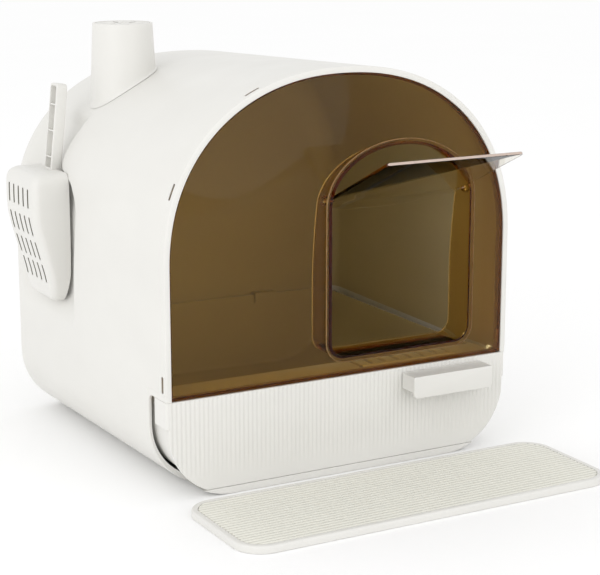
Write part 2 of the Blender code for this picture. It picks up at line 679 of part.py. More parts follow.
def scoop_bowl_rings(inset):
    """Bowl sections from heel to tip: z, depth under the rim, half width, all in millimetres."""
    sections = [(301, 33, 38), (298.5, 37, 42), (294, 40, 45), (286, 41.4, 46), (256, 41.2, 46),
                (240, 38.5, 46), (222, 34, 45.5), (200, 28, 44.5), (180, 22.5, 42), (167, 18, 38),
                (160, 14.5, 33), (157, 10.5, 27)]
    rings = []
    for z, depth, half in sections:
        radius = min(9.0, depth * 0.45)
        shift = inset / MM
        rim_x = SCOOP_RIM_X - 3.4 * MM * smooth(190.0, 157.0, z)
        rings.append(scoop_ring(z * MM, rim_x - (depth - shift) * MM, rim_x + 2 * shift * MM,
                                (half - shift) * MM, max(radius - shift, 0.5) * MM))
    return rings if inset == 0 else rings[1:-1]


def make_scoop(material):
    wall = 2.2 * MM
    scoop = loft("scoop", scoop_bowl_rings(0.0), material)
    cut(scoop, loft("scoop_hollow", scoop_bowl_rings(wall)))
    slots = []
    for row, (top_z, lean) in enumerate([(285, 0.0), (254, 3.0), (226, 13.0), (200, 14.0)]):
        for column in range(5):
            y = SCOOP_Y + (column - 2) * 14.5 * MM
            slot = box("scoop_slot_%d_%d" % (row, column), (-9 * MM, -1.9 * MM, -11 * MM),
                       (9 * MM, 1.9 * MM, 11 * MM))
            depth = 41 if row < 2 else (33 if row == 2 else 27)
            slot.location = (SCOOP_RIM_X - depth * MM, y, (top_z - 11) * MM)
            slot.rotation_euler = (0, math.radians(-lean), 0)
            slots.append(slot)
    # the handle is a channel, open on its outer side, that leans towards the hood
    handle = box("scoop_handle", (-6 * MM, -10.5 * MM, -4.6 * MM), (6 * MM, 10.5 * MM, 96 * MM))
    channel = box("scoop_channel", (-9 * MM, -8 * MM, 3 * MM), (3.6 * MM, 8 * MM, 93.2 * MM))
    ribs = [box("scoop_rib_%d" % i, (-5.2 * MM, -9 * MM, z), (5 * MM, 9 * MM, z + 1.6 * MM))
            for i, z in enumerate((14 * MM, 43 * MM, 72 * MM))]
    hook_hole = box("scoop_hook_hole", (2 * MM, -5 * MM, 78 * MM), (9 * MM, 5 * MM, 88 * MM))
    lean = bpy.data.objects.new("scoop_handle_lean", None)
    CUTTERS.objects.link(lean)
    lean.location = (-204.5 * MM, SCOOP_Y, 299 * MM)
    lean.rotation_euler = (0, math.radians(6.5), 0)
    for piece in [handle, channel, hook_hole] + ribs:
        piece.parent = lean
    cut(handle, channel)
    join(handle, ribs)
    cut(handle, hook_hole)
    join(scoop, handle)
    cut(scoop, slots)
    return scoop


def make_scoop_hook(material):
    """A bracket on the recess: a peg through the wall, and a tongue that the handle's foot stands on."""
    top = 293.2 * MM
    hook = box("scoop_hook", (-214 * MM, SCOOP_Y - 8 * MM, 279 * MM), (-198 * MM, SCOOP_Y + 8 * MM, top),
               material)
    tip = box("hook_tip", (-214 * MM, SCOOP_Y - 7 * MM, 288 * MM), (-211.6 * MM, SCOOP_Y + 7 * MM, top + 3.5 * MM))
    peg = cylinder("hook_peg", (-0.205, SCOOP_Y, HOOK_Z), (-0.191, SCOOP_Y, HOOK_Z), 4 * MM, sides=24)
    join(hook, [tip, peg])
    return hook


# ---- mat -----------------------------------------------------------------------------------------------
def mat_outline(inset):
    return rounded_box_outline((MAT_X - MAT_HALF + inset, MAT_FRONT_Y + inset),
                               (MAT_X + MAT_HALF - inset, MAT_REAR_Y - inset), MAT_CORNER_R - inset)


def make_mat(material_base, material_pad):
    base = plate("mat_base", mat_outline(0.0), "xy", 0.0, MAT_T, material_base)
    cut(base, plate("mat_pocket", mat_outline(MAT_BORDER), "xy", 4 * MM, 0.02))
    pad = plate("mat_pad", mat_outline(MAT_BORDER + GAP), "xy", 4 * MM + GAP, MAT_T, material_pad)
    return base, pad


def make_all():
    shell = plastic("white_plastic", (0.83, 0.82, 0.79), 0.45)
    tinted = plastic("tinted_plastic", (0.20, 0.13, 0.05), 0.08, 0.85)
    ribbed = plastic("mat_rubber", (0.62, 0.60, 0.54), 0.7)
    carbon = plastic("carbon", (0.03, 0.03, 0.03), 0.9)
    make_housing(shell)
    make_front_panel(tinted)
    make_door_collar(tinted)
    make_door_flap(tinted)
    make_flap_bush(-1, "flap_bush_left", tinted)
    make_flap_bush(1, "flap_bush_right", tinted)
    make_drawer_tray(shell)
    make_drawer_front(shell)
    make_drawer_handle(shell)
    make_entry_grate(shell)
    make_drawer_stop(-1, "drawer_stop_left", shell)
    make_drawer_stop(1, "drawer_stop_right", shell)
    make_tower_body(shell)
    make_vent_cap(shell)
    make_filter_basket(shell)
    make_carbon_filter(carbon)
    make_tower_ring(shell)
    make_scoop(shell)
    make_scoop_hook(shell)
    make_mat(shell, ribbed)


make_all()
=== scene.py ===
"""Hooded cat litter box: the visible pieces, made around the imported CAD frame.

The file is laid out as an add-on and is run as a script. Lengths are in metres in the frame's axes:
+Z is up, the tinted front faces -Y, and the origin is under the middle of the hood's floor."""

import math

import bmesh
import bpy
from bpy.props import FloatProperty, FloatVectorProperty, IntProperty, PointerProperty
from mathutils import Matrix, Vector
from mathutils.geometry import tessellate_polygon


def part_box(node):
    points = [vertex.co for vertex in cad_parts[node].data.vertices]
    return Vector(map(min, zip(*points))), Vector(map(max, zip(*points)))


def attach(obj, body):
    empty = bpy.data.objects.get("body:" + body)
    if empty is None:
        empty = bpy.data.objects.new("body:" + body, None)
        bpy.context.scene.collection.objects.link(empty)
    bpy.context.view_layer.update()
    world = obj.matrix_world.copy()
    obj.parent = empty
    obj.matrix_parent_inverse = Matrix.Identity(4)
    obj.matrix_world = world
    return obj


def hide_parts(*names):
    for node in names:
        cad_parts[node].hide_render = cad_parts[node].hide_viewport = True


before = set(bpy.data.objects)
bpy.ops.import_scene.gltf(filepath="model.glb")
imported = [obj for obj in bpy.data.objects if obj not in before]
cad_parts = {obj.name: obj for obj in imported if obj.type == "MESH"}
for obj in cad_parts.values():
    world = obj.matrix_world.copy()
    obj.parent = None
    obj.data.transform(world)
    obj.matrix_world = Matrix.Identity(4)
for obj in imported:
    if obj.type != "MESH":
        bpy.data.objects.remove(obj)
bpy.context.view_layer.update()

bl_info = {
    "name": "Hooded cat litter box",
    "version": (1, 0, 0),
    "blender": (4, 5, 0),
    "location": "View3D > Sidebar > Litter box",
    "description": "Makes the visible pieces of a hooded cat litter box around its CAD frame",
    "category": "Add Mesh",
}

MM = 0.001
GAP = 0.3 * MM                  # between pieces that touch
HOOK_Z = 285.5 * MM             # the peg that fastens the scoop's hook
SHEET_DENSITY, FLAP_DENSITY = 420.0, 35.0      # absorption per metre in the tinted front and in the flap
CHEEK_LOW_Z, CHEEK_REAR_Y = 78 * MM, -172 * MM  # the drawer front's side returns
TOWER_LOW_Z = 350 * MM          # where the tower's taper starts
FLAP_CORNER_R = 5 * MM          # the flap's two free corners
SPIGOT_R, SPIGOT_LOW_Z, WEB_TOP_Z = 31 * MM, 340 * MM, 414.5 * MM
CAP_SEAT_Z = 449.5 * MM         # the ledge inside the tower that the cap stands on

HOOD_LOW, HOOD_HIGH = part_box("housing")
CAP_LOW, CAP_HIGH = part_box("vent_cap")
TRAY_LOW, TRAY_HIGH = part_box("drawer_tray")
FASCIA_LOW, FASCIA_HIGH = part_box("drawer_front")
HANDLE_LOW, HANDLE_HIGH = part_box("drawer_handle")
COLLAR_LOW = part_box("door_collar")[0]
SCOOP_LOW, SCOOP_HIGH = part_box("scoop")
MAT_LOW, MAT_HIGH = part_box("mat_base")
PAD_LOW, PAD_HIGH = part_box("mat_pad")
CAP_MIDDLE = (CAP_LOW + CAP_HIGH) / 2
SCOOP_MIDDLE_Y = (SCOOP_LOW.y + SCOOP_HIGH.y) / 2
SOFT_EDGE = [(0.0, 1.0 * MM), (0.3 * MM, 0.3 * MM), (1.0 * MM, 0.0)]     # run from the edge, set back


# ---- sizes and colours that a user would change ----------------------------------------------------------
def length(name, description, default):
    return FloatProperty(name=name, description=description, default=default, unit="LENGTH", precision=4)


def colour(name, description, default):
    return FloatVectorProperty(name=name, description=description, default=default, size=3,
                               subtype="COLOR", min=0.0, max=1.0)


class HoodSizes(bpy.types.PropertyGroup):
    """Sizes of the arched hood."""

    front_half: length("Front half width", "Half of the hood's width at its front rim", 205 * MM)
    rear_half: length("Rear half width", "Half of the hood's width at its back wall", 215.6 * MM)
    front_top: length("Front height", "Height of the arch at the front rim", 429 * MM)
    rear_top: length("Rear height", "Height of the arch at the back wall", 414.6 * MM)
    spring: length("Spring height", "Height at which the straight sides turn into the arch", 237.3 * MM)
    corner: length("Corner radius", "Radius of the two lower corners", 73 * MM)
    wall: length("Wall", "Thickness of the shell", 3.2 * MM)
    rim: length("Rim", "Thickness of the front rim", 6.5 * MM)
    rear_round: length("Rear rounding", "Rounding of the back wall's outer edge", 12 * MM)
    lining_round: length("Inside rounding", "Rounding inside, where the back wall meets the sides", 24 * MM)
    recess: length("Recess depth", "Depth of the hollow that the scoop hangs in", 13.5 * MM)
    power: FloatProperty(name="Arch power", description="Power of the arch's superellipse", default=2.2)


class FrontSizes(bpy.types.PropertyGroup):
    """Sizes of the tinted front and its swinging door."""

    sheet: length("Sheet", "Thickness of the tinted sheet", 3 * MM)
    low: length("Lower edge", "Height of the tinted front's lower edge", 106.2 * MM)
    door_x: length("Doorway middle", "Place of the doorway's middle", 68 * MM)
    door_half: length("Doorway half width", "Half of the doorway's width", 84.5 * MM)
    door_low: length("Doorway sill", "Height of the doorway's lower edge", 128.5 * MM)
    door_spring: length("Doorway spring", "Height at which the doorway's arch starts", 285 * MM)
    door_top: length("Doorway top", "Height of the doorway's arch", 345.5 * MM)
    tunnel: length("Tunnel depth", "How far the doorway's tunnel reaches back at the cat's feet", 36 * MM)
    lip: length("Lip", "Width of the lip round the doorway", 6.5 * MM)
    hinge_y: length("Hinge depth", "Place of the flap's hinge along Y", -188 * MM)
    hinge_z: length("Hinge height", "Height of the flap's hinge", 292 * MM)
    flap_half: length("Flap half width", "Half of the flap's width", 81 * MM)
    flap_drop: length("Flap drop", "How far the flap reaches from its hinge to its free edge", 123.5 * MM)
    flap_rise: length("Flap rise", "How far the flap's arch reaches past its hinge", 46 * MM)
    flap_open: FloatProperty(name="Flap opening", description="How far the flap stands open from hanging",
                             default=math.radians(114.9), subtype="ANGLE")


class DrawerSizes(bpy.types.PropertyGroup):
    """Sizes of the litter drawer."""

    flute_pitch: length("Flute pitch", "Distance from one flute to the next", 5 * MM)
    flute_depth: length("Flute depth", "Depth of a flute", 0.6 * MM)
    plain_band: length("Plain band", "Height of the band below the flutes", 13 * MM)
    tray_wall: length("Tray wall", "Thickness of the tray's walls", 2.5 * MM)
    tray_corner: length("Tray corner", "Radius of the tray's lower corners", 64 * MM)
    handle_wall: length("Handle wall", "Thickness of the pull's walls", 3 * MM)


class TowerSizes(bpy.types.PropertyGroup):
    """Sizes of the deodoriser tower."""

    low_radius: length("Lower radius", "Radius at the tower's lower end", 38.6 * MM)
    top_radius: length("Upper radius", "Radius at the tower's top", 33.2 * MM)
    top: length("Height", "Height of the tower's top rim", 458.8 * MM)
    wall: length("Wall", "Thickness of the tower's wall", 2.6 * MM)
    flare: length("Flare", "How far the foot spreads over the hood", 1.4 * MM)
    petals: IntProperty(name="Petals", description="Number of petal-shaped vents", default=6, min=3)


class ScoopSizes(bpy.types.PropertyGroup):
    """Sizes of the litter scoop."""

    rim_x: length("Rim", "Place of the bowl's rim across the hood", -203.8 * MM)
    wall: length("Wall", "Thickness of the bowl", 2.2 * MM)
    slot: length("Slot", "Width of a slot", 3.8 * MM)
    slot_pitch: length("Slot pitch", "Distance from one slot to the next", 14.5 * MM)
    lean: FloatProperty(name="Handle lean", description="How far the handle leans towards the hood",
                        default=math.radians(6.5), subtype="ANGLE")


class MatSizes(bpy.types.PropertyGroup):
    """Sizes of the floor mat."""

    border: length("Border", "Width of the plain border", 6.5 * MM)
    corner: length("Corner radius", "Radius of the mat's corners", 30 * MM)
    rib_height: length("Rib height", "Height of a rib over its groove", 2.2 * MM)
    ribs: IntProperty(name="Ribs", description="Number of ribs", default=22, min=4)


class FinishColours(bpy.types.PropertyGroup):
    """Colours of the finishes."""

    shell: colour("Shell", "Warm white of the moulded shell", (0.75, 0.74, 0.705))
    # lining: painted shade, the white inside coloured as it looks in the brown light through the tinted front
    lining: colour("Lining", "Inside of the hood", (0.54, 0.47, 0.29))
    tint: colour("Tint", "Colour of the tinted plastic", (0.90, 0.725, 0.22))
    edge: colour("Cut edge", "Glow in the tinted plastic's edges", (0.36, 0.22, 0.10))
    flap_edge: colour("Flap edge", "Paler glow in the flap's free edge", (0.74, 0.60, 0.52))
    slot_wall: colour("Slot wall", "Shade in the scoop's slots", (0.25, 0.24, 0.20))
    pad: colour("Pad", "Grey-beige of the mat's ribs", (0.78, 0.77, 0.70))
    groove: colour("Groove", "Shade in the mat's grooves", (0.30, 0.29, 0.24))
    carbon: colour("Carbon", "Activated carbon fleece", (0.03, 0.03, 0.03))
    floor: colour("Floor", "Plain pale floor", (0.985, 0.985, 0.985))


class StudioSettings(bpy.types.PropertyGroup):
    """Camera and light."""

    eye: FloatVectorProperty(name="Camera", description="Where the camera stands", subtype="TRANSLATION",
                             unit="LENGTH", default=(-0.87464, -1.67678, 0.59708))
    heading: FloatProperty(name="Heading", description="How far the camera turns from +Y towards +X",
                           default=math.radians(29.077), subtype="ANGLE")
    dip: FloatProperty(name="Dip", description="How far the camera looks down",
                       default=math.radians(12.991), subtype="ANGLE")
    lens: FloatProperty(name="Focal length", description="Focal length for a 36 mm wide sensor",
                        default=102.29, subtype="DISTANCE_CAMERA", unit="CAMERA")
    sky: FloatProperty(name="Ambient light", description="Strength of the even light", default=1.0)
    key: FloatProperty(name="Key light", description="Power of the large lamp", default=14.0, unit="POWER")
    fill: FloatProperty(name="Fill light", description="Power of the lamp on the front", default=8.0,
                        unit="POWER")


class LitterBoxSettings(bpy.types.PropertyGroup):
    """Everything that the panel shows."""

    hood: PointerProperty(type=HoodSizes)
    front: PointerProperty(type=FrontSizes)
    drawer: PointerProperty(type=DrawerSizes)
    tower: PointerProperty(type=TowerSizes)
    scoop: PointerProperty(type=ScoopSizes)
    mat: PointerProperty(type=MatSizes)
    colours: PointerProperty(type=FinishColours)
    studio: PointerProperty(type=StudioSettings)


def settings():
    return bpy.context.scene.litter_box


# ---- outlines --------------------------------------------------------------------------------------------
def lerp(a, b, t):
    return a + (b - a) * t


def smooth(low, high, value):
    """0 at low and 1 at high, with a smooth run between them; low may be the greater."""
    t = min(max((value - low) / (high - low), 0.0), 1.0)
    return t * t * (3 - 2 * t)


def spread(low, high, steps):
    """Evenly spaced values from low to high, without high."""
    return [lerp(low, high, i / steps) for i in range(steps)]


def arc(centre, radius, start, end, steps):
    """Points on an arc, angles in degrees."""
    angles = [math.radians(start + (end - start) * i / steps) for i in range(steps + 1)]
    return [(centre[0] + radius * math.cos(a), centre[1] + radius * math.sin(a)) for a in angles]


def arch_point(angle, half, spring, top, power):
    """A point of a superellipse arch: angle 0 is its right foot and 180 degrees its left foot."""
    side = math.copysign(abs(math.cos(angle)) ** (2 / power), math.cos(angle))
    rise = max(math.sin(angle), 0.0) ** (2 / power)
    return half * side, spring + (top - spring) * rise


def arch(half, spring, top, power, steps):
    """The whole arch, from its right foot to its left foot."""
    return [arch_point(math.pi * i / steps, half, spring, top, power) for i in range(steps + 1)]


def foot_corners(middle, half, low, radius, steps):
    """The two round lower corners of an outline, from its left side to its right side."""
    return (arc((middle - half + radius, low + radius), radius, 180, 270, steps)
            + arc((middle + half - radius, low + radius), radius, 270, 360, steps))


def rounded_box(low, high, radius, steps=8):
    (x0, y0), (x1, y1) = low, high
    outline = arc((x1 - radius, y1 - radius), radius, 0, 90, steps)
    outline += arc((x0 + radius, y1 - radius), radius, 90, 180, steps)
    outline += arc((x0 + radius, y0 + radius), radius, 180, 270, steps)
    outline += arc((x1 - radius, y0 + radius), radius, 270, 360, steps)
    return outline


def through(knots, value):
    """A smooth curve through knots of (place, value), read at a place. The places rise."""
    last = len(knots) - 1
    i = max(0, min(last - 1, sum(1 for place, _ in knots if place <= value) - 1))
    (x0, y0), (x1, y1) = knots[i], knots[i + 1]
    t = min(max((value - x0) / (x1 - x0), 0.0), 1.0)

    def slope(k):
        a, b = knots[max(k - 1, 0)], knots[min(k + 1, last)]
        return (b[1] - a[1]) / (b[0] - a[0]) * (x1 - x0)

    return (y0 * (2 * t**3 - 3 * t**2 + 1) + slope(i) * (t**3 - 2 * t**2 + t)
            + y1 * (3 * t**2 - 2 * t**3) + slope(i + 1) * (t**3 - t**2))


# ---- meshes ----------------------------------------------------------------------------------------------
def mesh_from(name, points, faces, second_finish=()):
    """A mesh with its normals outwards; second_finish holds the faces of the second material."""
    mesh = bpy.data.meshes.new(name)
    mesh.from_pydata(points, [], faces)
    marked = set(second_finish)
    if marked:
        for _ in range(2):      # empty slots keep the faces' finishes through cuts and joins
            mesh.materials.append(None)
        mesh.polygons.foreach_set("material_index", [int(i in marked) for i in range(len(faces))])
    mesh.update()
    mesh.validate()
    return mesh


def facing_out(mesh):
    """Turn the faces of a closed mesh outwards."""
    bm = bmesh.new()
    bm.from_mesh(mesh)
    bmesh.ops.recalc_face_normals(bm, faces=bm.faces)
    bm.to_mesh(mesh)
    bm.free()
    return mesh


def loft(name, rings, closed=False, second_finish_from=None):
    """A skin over rings that have the same number of points: capped at both ends, or closed on itself."""
    count = len(rings[0])
    points = [point for ring in rings for point in ring]
    faces = []
    rows = len(rings) if closed else len(rings) - 1
    for row in range(rows):
        a, b = row * count, (row + 1) % len(rings) * count
        for i in range(count):
            j = (i + 1) % count
            faces.append((a + i, a + j, b + j, b + i))
    second = list(range(second_finish_from * count, len(faces))) if second_finish_from else []
    if not closed:
        faces.append(tuple(range(count))[::-1])
        faces.append(tuple(range((len(rings) - 1) * count, len(points))))
        if second:
            second.append(len(faces) - 1)
    return facing_out(mesh_from(name, points, faces, second))


def relief(name, grid, back):
    """A slab with a modelled face: grid holds columns of points, and back moves them to the flat side."""
    columns, rows = len(grid), len(grid[0])
    points = [point for column in grid for point in column]
    faces = []
    for i in range(columns - 1):
        for k in range(rows - 1):
            a = i * rows + k
            faces.append((a, a + 1, a + rows + 1, a + rows))
    rim = [i * rows for i in range(columns)] + [(columns - 1) * rows + k for k in range(1, rows)]
    rim += [i * rows + rows - 1 for i in range(columns - 2, -1, -1)] + list(range(rows - 2, 0, -1))
    first = len(points)
    points += [back(Vector(points[i])) for i in rim]
    for i, corner in enumerate(rim):
        j = (i + 1) % len(rim)
        faces.append((corner, rim[j], first + j, first + i))
    faces.append(tuple(range(first, len(points))))
    return facing_out(mesh_from(name, points, faces))


def sheet_with_hole(name, outer_rings, hole_rings):
    """A sheet between the first and last of its rings, with a hole through it."""
    points, faces, starts = [], [], []
    for rings in (outer_rings, hole_rings):
        count = len(rings[0])
        start = len(points)
        starts.append(start)
        points += [point for ring in rings for point in ring]
        for row in range(len(rings) - 1):
            a, b = start + row * count, start + (row + 1) * count
            faces += [(a + i, a + (i + 1) % count, b + (i + 1) % count, b + i) for i in range(count)]
    for end in (0, -1):
        loops = [outer_rings[end], hole_rings[end]]
        index = []
        for rings, start in zip((outer_rings, hole_rings), starts):
            count = len(rings[0])
            low = start if end == 0 else start + (len(rings) - 1) * count
            index += range(low, low + count)
        for triangle in tessellate_polygon(loops):
            faces.append(tuple(index[k] for k in triangle))
    return facing_out(mesh_from(name, points, faces))


def loose(name, data):
    """A new object in the scene."""
    obj = bpy.data.objects.new(name, data)
    bpy.context.scene.collection.objects.link(obj)
    return obj


def settle(obj):
    """Put the result of the modifiers into the mesh."""
    bpy.context.view_layer.update()
    before = obj.data
    obj.data = bpy.data.meshes.new_from_object(obj.evaluated_get(bpy.context.evaluated_depsgraph_get()))
    obj.modifiers.clear()
    bpy.data.meshes.remove(before)


def combine(obj, tools, operation):
    """Cut, join or intersect obj with each tool, and throw the tools away."""
    for tool in tools:
        step = obj.modifiers.new(operation.lower(), "BOOLEAN")
        step.operation = operation
        step.solver = "MANIFOLD"
        step.object = tool
    settle(obj)
    for tool in tools:
        mesh = tool.data
        bpy.data.objects.remove(tool)
        bpy.data.meshes.remove(mesh)


def cut(obj, tools):
    combine(obj, tools, "DIFFERENCE")


def join(obj, tools):
    combine(obj, tools, "UNION")


def prism(name, outline, low, high, place=None, edge=0.0):
    """An outline, thick from low to high, with its long edges rounded by edge. place takes (u, v, w)
    to a point; without it the outline lies in x and y."""
    middle = Vector((sum(u for u, _ in outline), sum(v for _, v in outline))) / len(outline)
    place = place or (lambda u, v, w: Vector((u, v, w)))

    def ring(inset, w):
        points = []
        for u, v in outline:
            arm = Vector((u, v)) - middle
            arm = middle + arm - Vector((math.copysign(min(inset, abs(arm.x)), arm.x),
                                         math.copysign(min(inset, abs(arm.y)), arm.y)))
            points.append(place(arm.x, arm.y, w))
        return points

    turns = [math.radians(18 * i) for i in range(6)] if edge else [math.pi / 2]
    rings = [ring(edge * (1 - math.sin(a)), low + edge * (1 - math.cos(a))) for a in turns]
    rings += [ring(edge * (1 - math.sin(a)), high - edge * (1 - math.cos(a))) for a in reversed(turns)]
    return loose(name, loft(name, rings))


def block(name, low, high, edge=0.0, radius=None):
    """A box with rounded edges; radius rounds the four upright ones."""
    radius = max(edge, 0.01 * MM) if radius is None else radius
    outline = rounded_box(low[:2], high[:2], radius, 6)
    return prism(name, outline, low[2], high[2], edge=edge)


def rod(name, start, end, radius, edge=0.0, sides=48):
    start, end = Vector(start), Vector(end)
    turn = (end - start).to_track_quat("Z", "Y")
    outline = arc((0.0, 0.0), radius, 0, 360 - 360 / sides, sides - 1)
    return prism(name, outline, 0.0, (end - start).length, lambda u, v, w: start + turn @ Vector((u, v, w)),
                 edge)


def turned(profile, axis, sides=96):
    """Rings of a turned shape: profile holds (radius, z) points round its wall."""
    angles = [math.tau * i / sides for i in range(sides)]
    return [[Vector((axis[0] + radius * math.cos(a), axis[1] + radius * math.sin(a), z)) for a in angles]
            for radius, z in profile]


def finish_piece(obj, name, materials, body, slot, *nodes, crease=35):
    """Shade the object, give it its materials, and let it ride on its body and stand for its nodes."""
    obj.name = name
    obj.data.name = name
    slots = obj.data.materials
    for index, material in enumerate(materials):
        if index < len(slots):
            slots[index] = material
        else:
            slots.append(material)
    obj.data.polygons.foreach_set("use_smooth", [True] * len(obj.data.polygons))
    obj.data.set_sharp_from_angle(angle=math.radians(crease))
    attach(obj, body)
    if nodes:
        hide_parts(*nodes)


# ---- finishes --------------------------------------------------------------------------------------------
def blank_material(name, tone, roughness, **constants):
    """A material with a Principled shader whose sockets take the constants by name."""
    material = bpy.data.materials.new(name)
    material.use_nodes = True
    shader = material.node_tree.nodes["Principled BSDF"]
    shader.inputs["Base Color"].default_value = (*tone, 1.0)
    shader.inputs["Roughness"].default_value = roughness
    for socket, value in constants.items():
        shader.inputs[socket.replace("_", " ")].default_value = value
    return material


def add_node(material, kind, **inputs):
    node = material.node_tree.nodes.new(kind)
    for socket, value in inputs.items():
        node.inputs[socket.replace("_", " ")].default_value = value
    return node


def place_of(material):
    """Object coordinates, so that a finish moves with its piece."""
    nodes = material.node_tree.nodes
    return nodes.get("Texture Coordinate") or nodes.new("ShaderNodeTexCoord")


def noise(material, scale, detail=3.0, stretch=None):
    """Noise over the piece, per metre; stretch scales it along each axis."""
    links = material.node_tree.links
    node = add_node(material, "ShaderNodeTexNoise", Scale=scale, Detail=detail)
    place = place_of(material).outputs["Object"]
    if stretch:
        mapping = add_node(material, "ShaderNodeMapping", Scale=stretch)
        links.new(place, mapping.inputs["Vector"])
        place = mapping.outputs["Vector"]
    links.new(place, node.inputs["Vector"])
    return node.outputs["Fac"]


def tone_between(material, factor, low, high, dark, light):
    """Colour the surface from dark to light as factor goes from low to high."""
    ramp = material.node_tree.nodes.new("ShaderNodeValToRGB")
    ramp.color_ramp.elements[0].position = low
    ramp.color_ramp.elements[1].position = high
    ramp.color_ramp.elements[0].color = (*dark, 1.0)
    ramp.color_ramp.elements[1].color = (*light, 1.0)
    links = material.node_tree.links
    links.new(factor, ramp.inputs["Fac"])
    links.new(ramp.outputs["Color"], material.node_tree.nodes["Principled BSDF"].inputs["Base Color"])


def roughness_between(material, factor, low, high):
    spread_map = add_node(material, "ShaderNodeMapRange", From_Min=0.3, From_Max=0.7, To_Min=low, To_Max=high)
    links = material.node_tree.links
    links.new(factor, spread_map.inputs["Value"])
    links.new(spread_map.outputs["Result"],
              material.node_tree.nodes["Principled BSDF"].inputs["Roughness"])


def grain(material, layers):
    """Bump layers of (height, strength, distance), each on top of the last."""
    links = material.node_tree.links
    normal = None
    for height, strength, distance in layers:
        bump = add_node(material, "ShaderNodeBump", Strength=strength, Distance=distance)
        links.new(height, bump.inputs["Height"])
        if normal:
            links.new(normal, bump.inputs["Normal"])
        normal = bump.outputs["Normal"]
    links.new(normal, material.node_tree.nodes["Principled BSDF"].inputs["Normal"])


def shade_of(tone, share):
    return tuple(share * part for part in tone)


def moulded_plastic(name, tone, low_rough=0.36, high_rough=0.46, grain_scale=1500.0):
    """Satin injection-moulded plastic: fine spark-eroded grain, faint flow marks and handling sheen."""
    if name in bpy.data.materials:
        return bpy.data.materials[name]
    material = blank_material(name, tone, 0.42, Specular_IOR_Level=0.42, Coat_Weight=0.04,
                              Coat_Roughness=0.3)
    flow = noise(material, 9.0, 4.0, (1.0, 1.0, 2.2))
    tone_between(material, flow, 0.3, 0.72, shade_of(tone, 0.972), tone)
    roughness_between(material, noise(material, 28.0, 5.0), low_rough, high_rough)
    grain(material, [(noise(material, grain_scale, 2.0), 0.10, 0.05 * MM),
                     (noise(material, 16.0, 2.0), 0.05, 0.4 * MM)])
    return material


def shell_plastic():
    return moulded_plastic("warm_white_plastic", settings().colours.shell)


def lining_painted_shade():
    """The hood's white inside with painted shade: brown, as it looks in the light that the tinted front lets
    in.
    """
    return moulded_plastic("hood_lining", settings().colours.lining, 0.5, 0.62, 900.0)


def tinted_plastic(name="tinted_acrylic", density=SHEET_DENSITY, edge=None):
    """Polished tinted sheet: it takes its colour from its thickness, and its gloss is a little wavy.
    With edge it is the satin, glowing look of the sheet's cut edge."""
    if name in bpy.data.materials:
        return bpy.data.materials[name]
    material = blank_material(name, (1.0, 1.0, 1.0), 0.05, IOR=1.25,
                              Transmission_Weight=0.25 if edge else 1.0,
                              Specular_IOR_Level=0.5 if edge else 0.28)
    roughness_between(material, noise(material, 22.0, 5.0), *((0.22, 0.32) if edge else (0.02, 0.07)))
    tone = tuple(edge) if edge else (1.0, 1.0, 1.0)
    tone_between(material, noise(material, 6.0, 2.0), 0.3, 0.7, shade_of(tone, 0.96), tone)
    grain(material, [(noise(material, 14.0, 1.0), 0.08, 0.5 * MM)])
    volume = add_node(material, "ShaderNodeVolumeAbsorption", Density=density)
    volume.inputs["Color"].default_value = (*settings().colours.tint, 1.0)
    output = material.node_tree.nodes["Material Output"]
    material.node_tree.links.new(volume.outputs["Volume"], output.inputs["Volume"])
    return material


def slot_shade():
    return moulded_plastic("slot_shade", settings().colours.slot_wall, 0.5, 0.6)


def ribbed_rubber():
    """The mat's ribbed pad: matt, finely pitted, with painted shade that darkens the grooves."""
    colours = settings().colours
    sizes = settings().mat
    material = blank_material("ribbed_pad", colours.pad, 0.7, Specular_IOR_Level=0.3, Sheen_Weight=0.08,
                              Sheen_Roughness=0.5)
    split = material.node_tree.nodes.new("ShaderNodeSeparateXYZ")
    links = material.node_tree.links
    links.new(place_of(material).outputs["Object"], split.inputs["Vector"])
    height = add_node(material, "ShaderNodeMapRange", From_Min=PAD_HIGH.z - sizes.rib_height,
                      From_Max=PAD_HIGH.z)
    links.new(split.outputs["Z"], height.inputs["Value"])
    # painted shade: darker down in the grooves by height, with a little random speckle on top
    groove_shade_and_speckle = add_node(material, "ShaderNodeMath")
    groove_shade_and_speckle.operation = "MULTIPLY_ADD"
    links.new(noise(material, 400.0, 3.0), groove_shade_and_speckle.inputs[0])
    groove_shade_and_speckle.inputs[1].default_value = 0.06
    links.new(height.outputs["Result"], groove_shade_and_speckle.inputs[2])
    tone_between(material, groove_shade_and_speckle.outputs["Value"], 0.15, 0.85, colours.groove, colours.pad)
    roughness_between(material, noise(material, 60.0, 4.0), 0.6, 0.78)
    grain(material, [(noise(material, 1900.0, 2.0), 0.25, 0.08 * MM)])
    return material


def carbon_fleece():
    tone = settings().colours.carbon
    material = blank_material("carbon_fleece", tone, 0.95, Sheen_Weight=0.2)
    fibres = noise(material, 700.0, 6.0, (1.0, 1.0, 0.2))
    tone_between(material, fibres, 0.3, 0.7, tone, tuple(part + 0.05 for part in tone))
    grain(material, [(fibres, 0.6, 0.4 * MM)])
    return material


def pale_floor():
    tone = settings().colours.floor
    material = blank_material("studio_floor", tone, 0.9, Specular_IOR_Level=0.0)
    tone_between(material, noise(material, 2.0, 2.0), 0.3, 0.7, shade_of(tone, 0.995), tone)
    return material


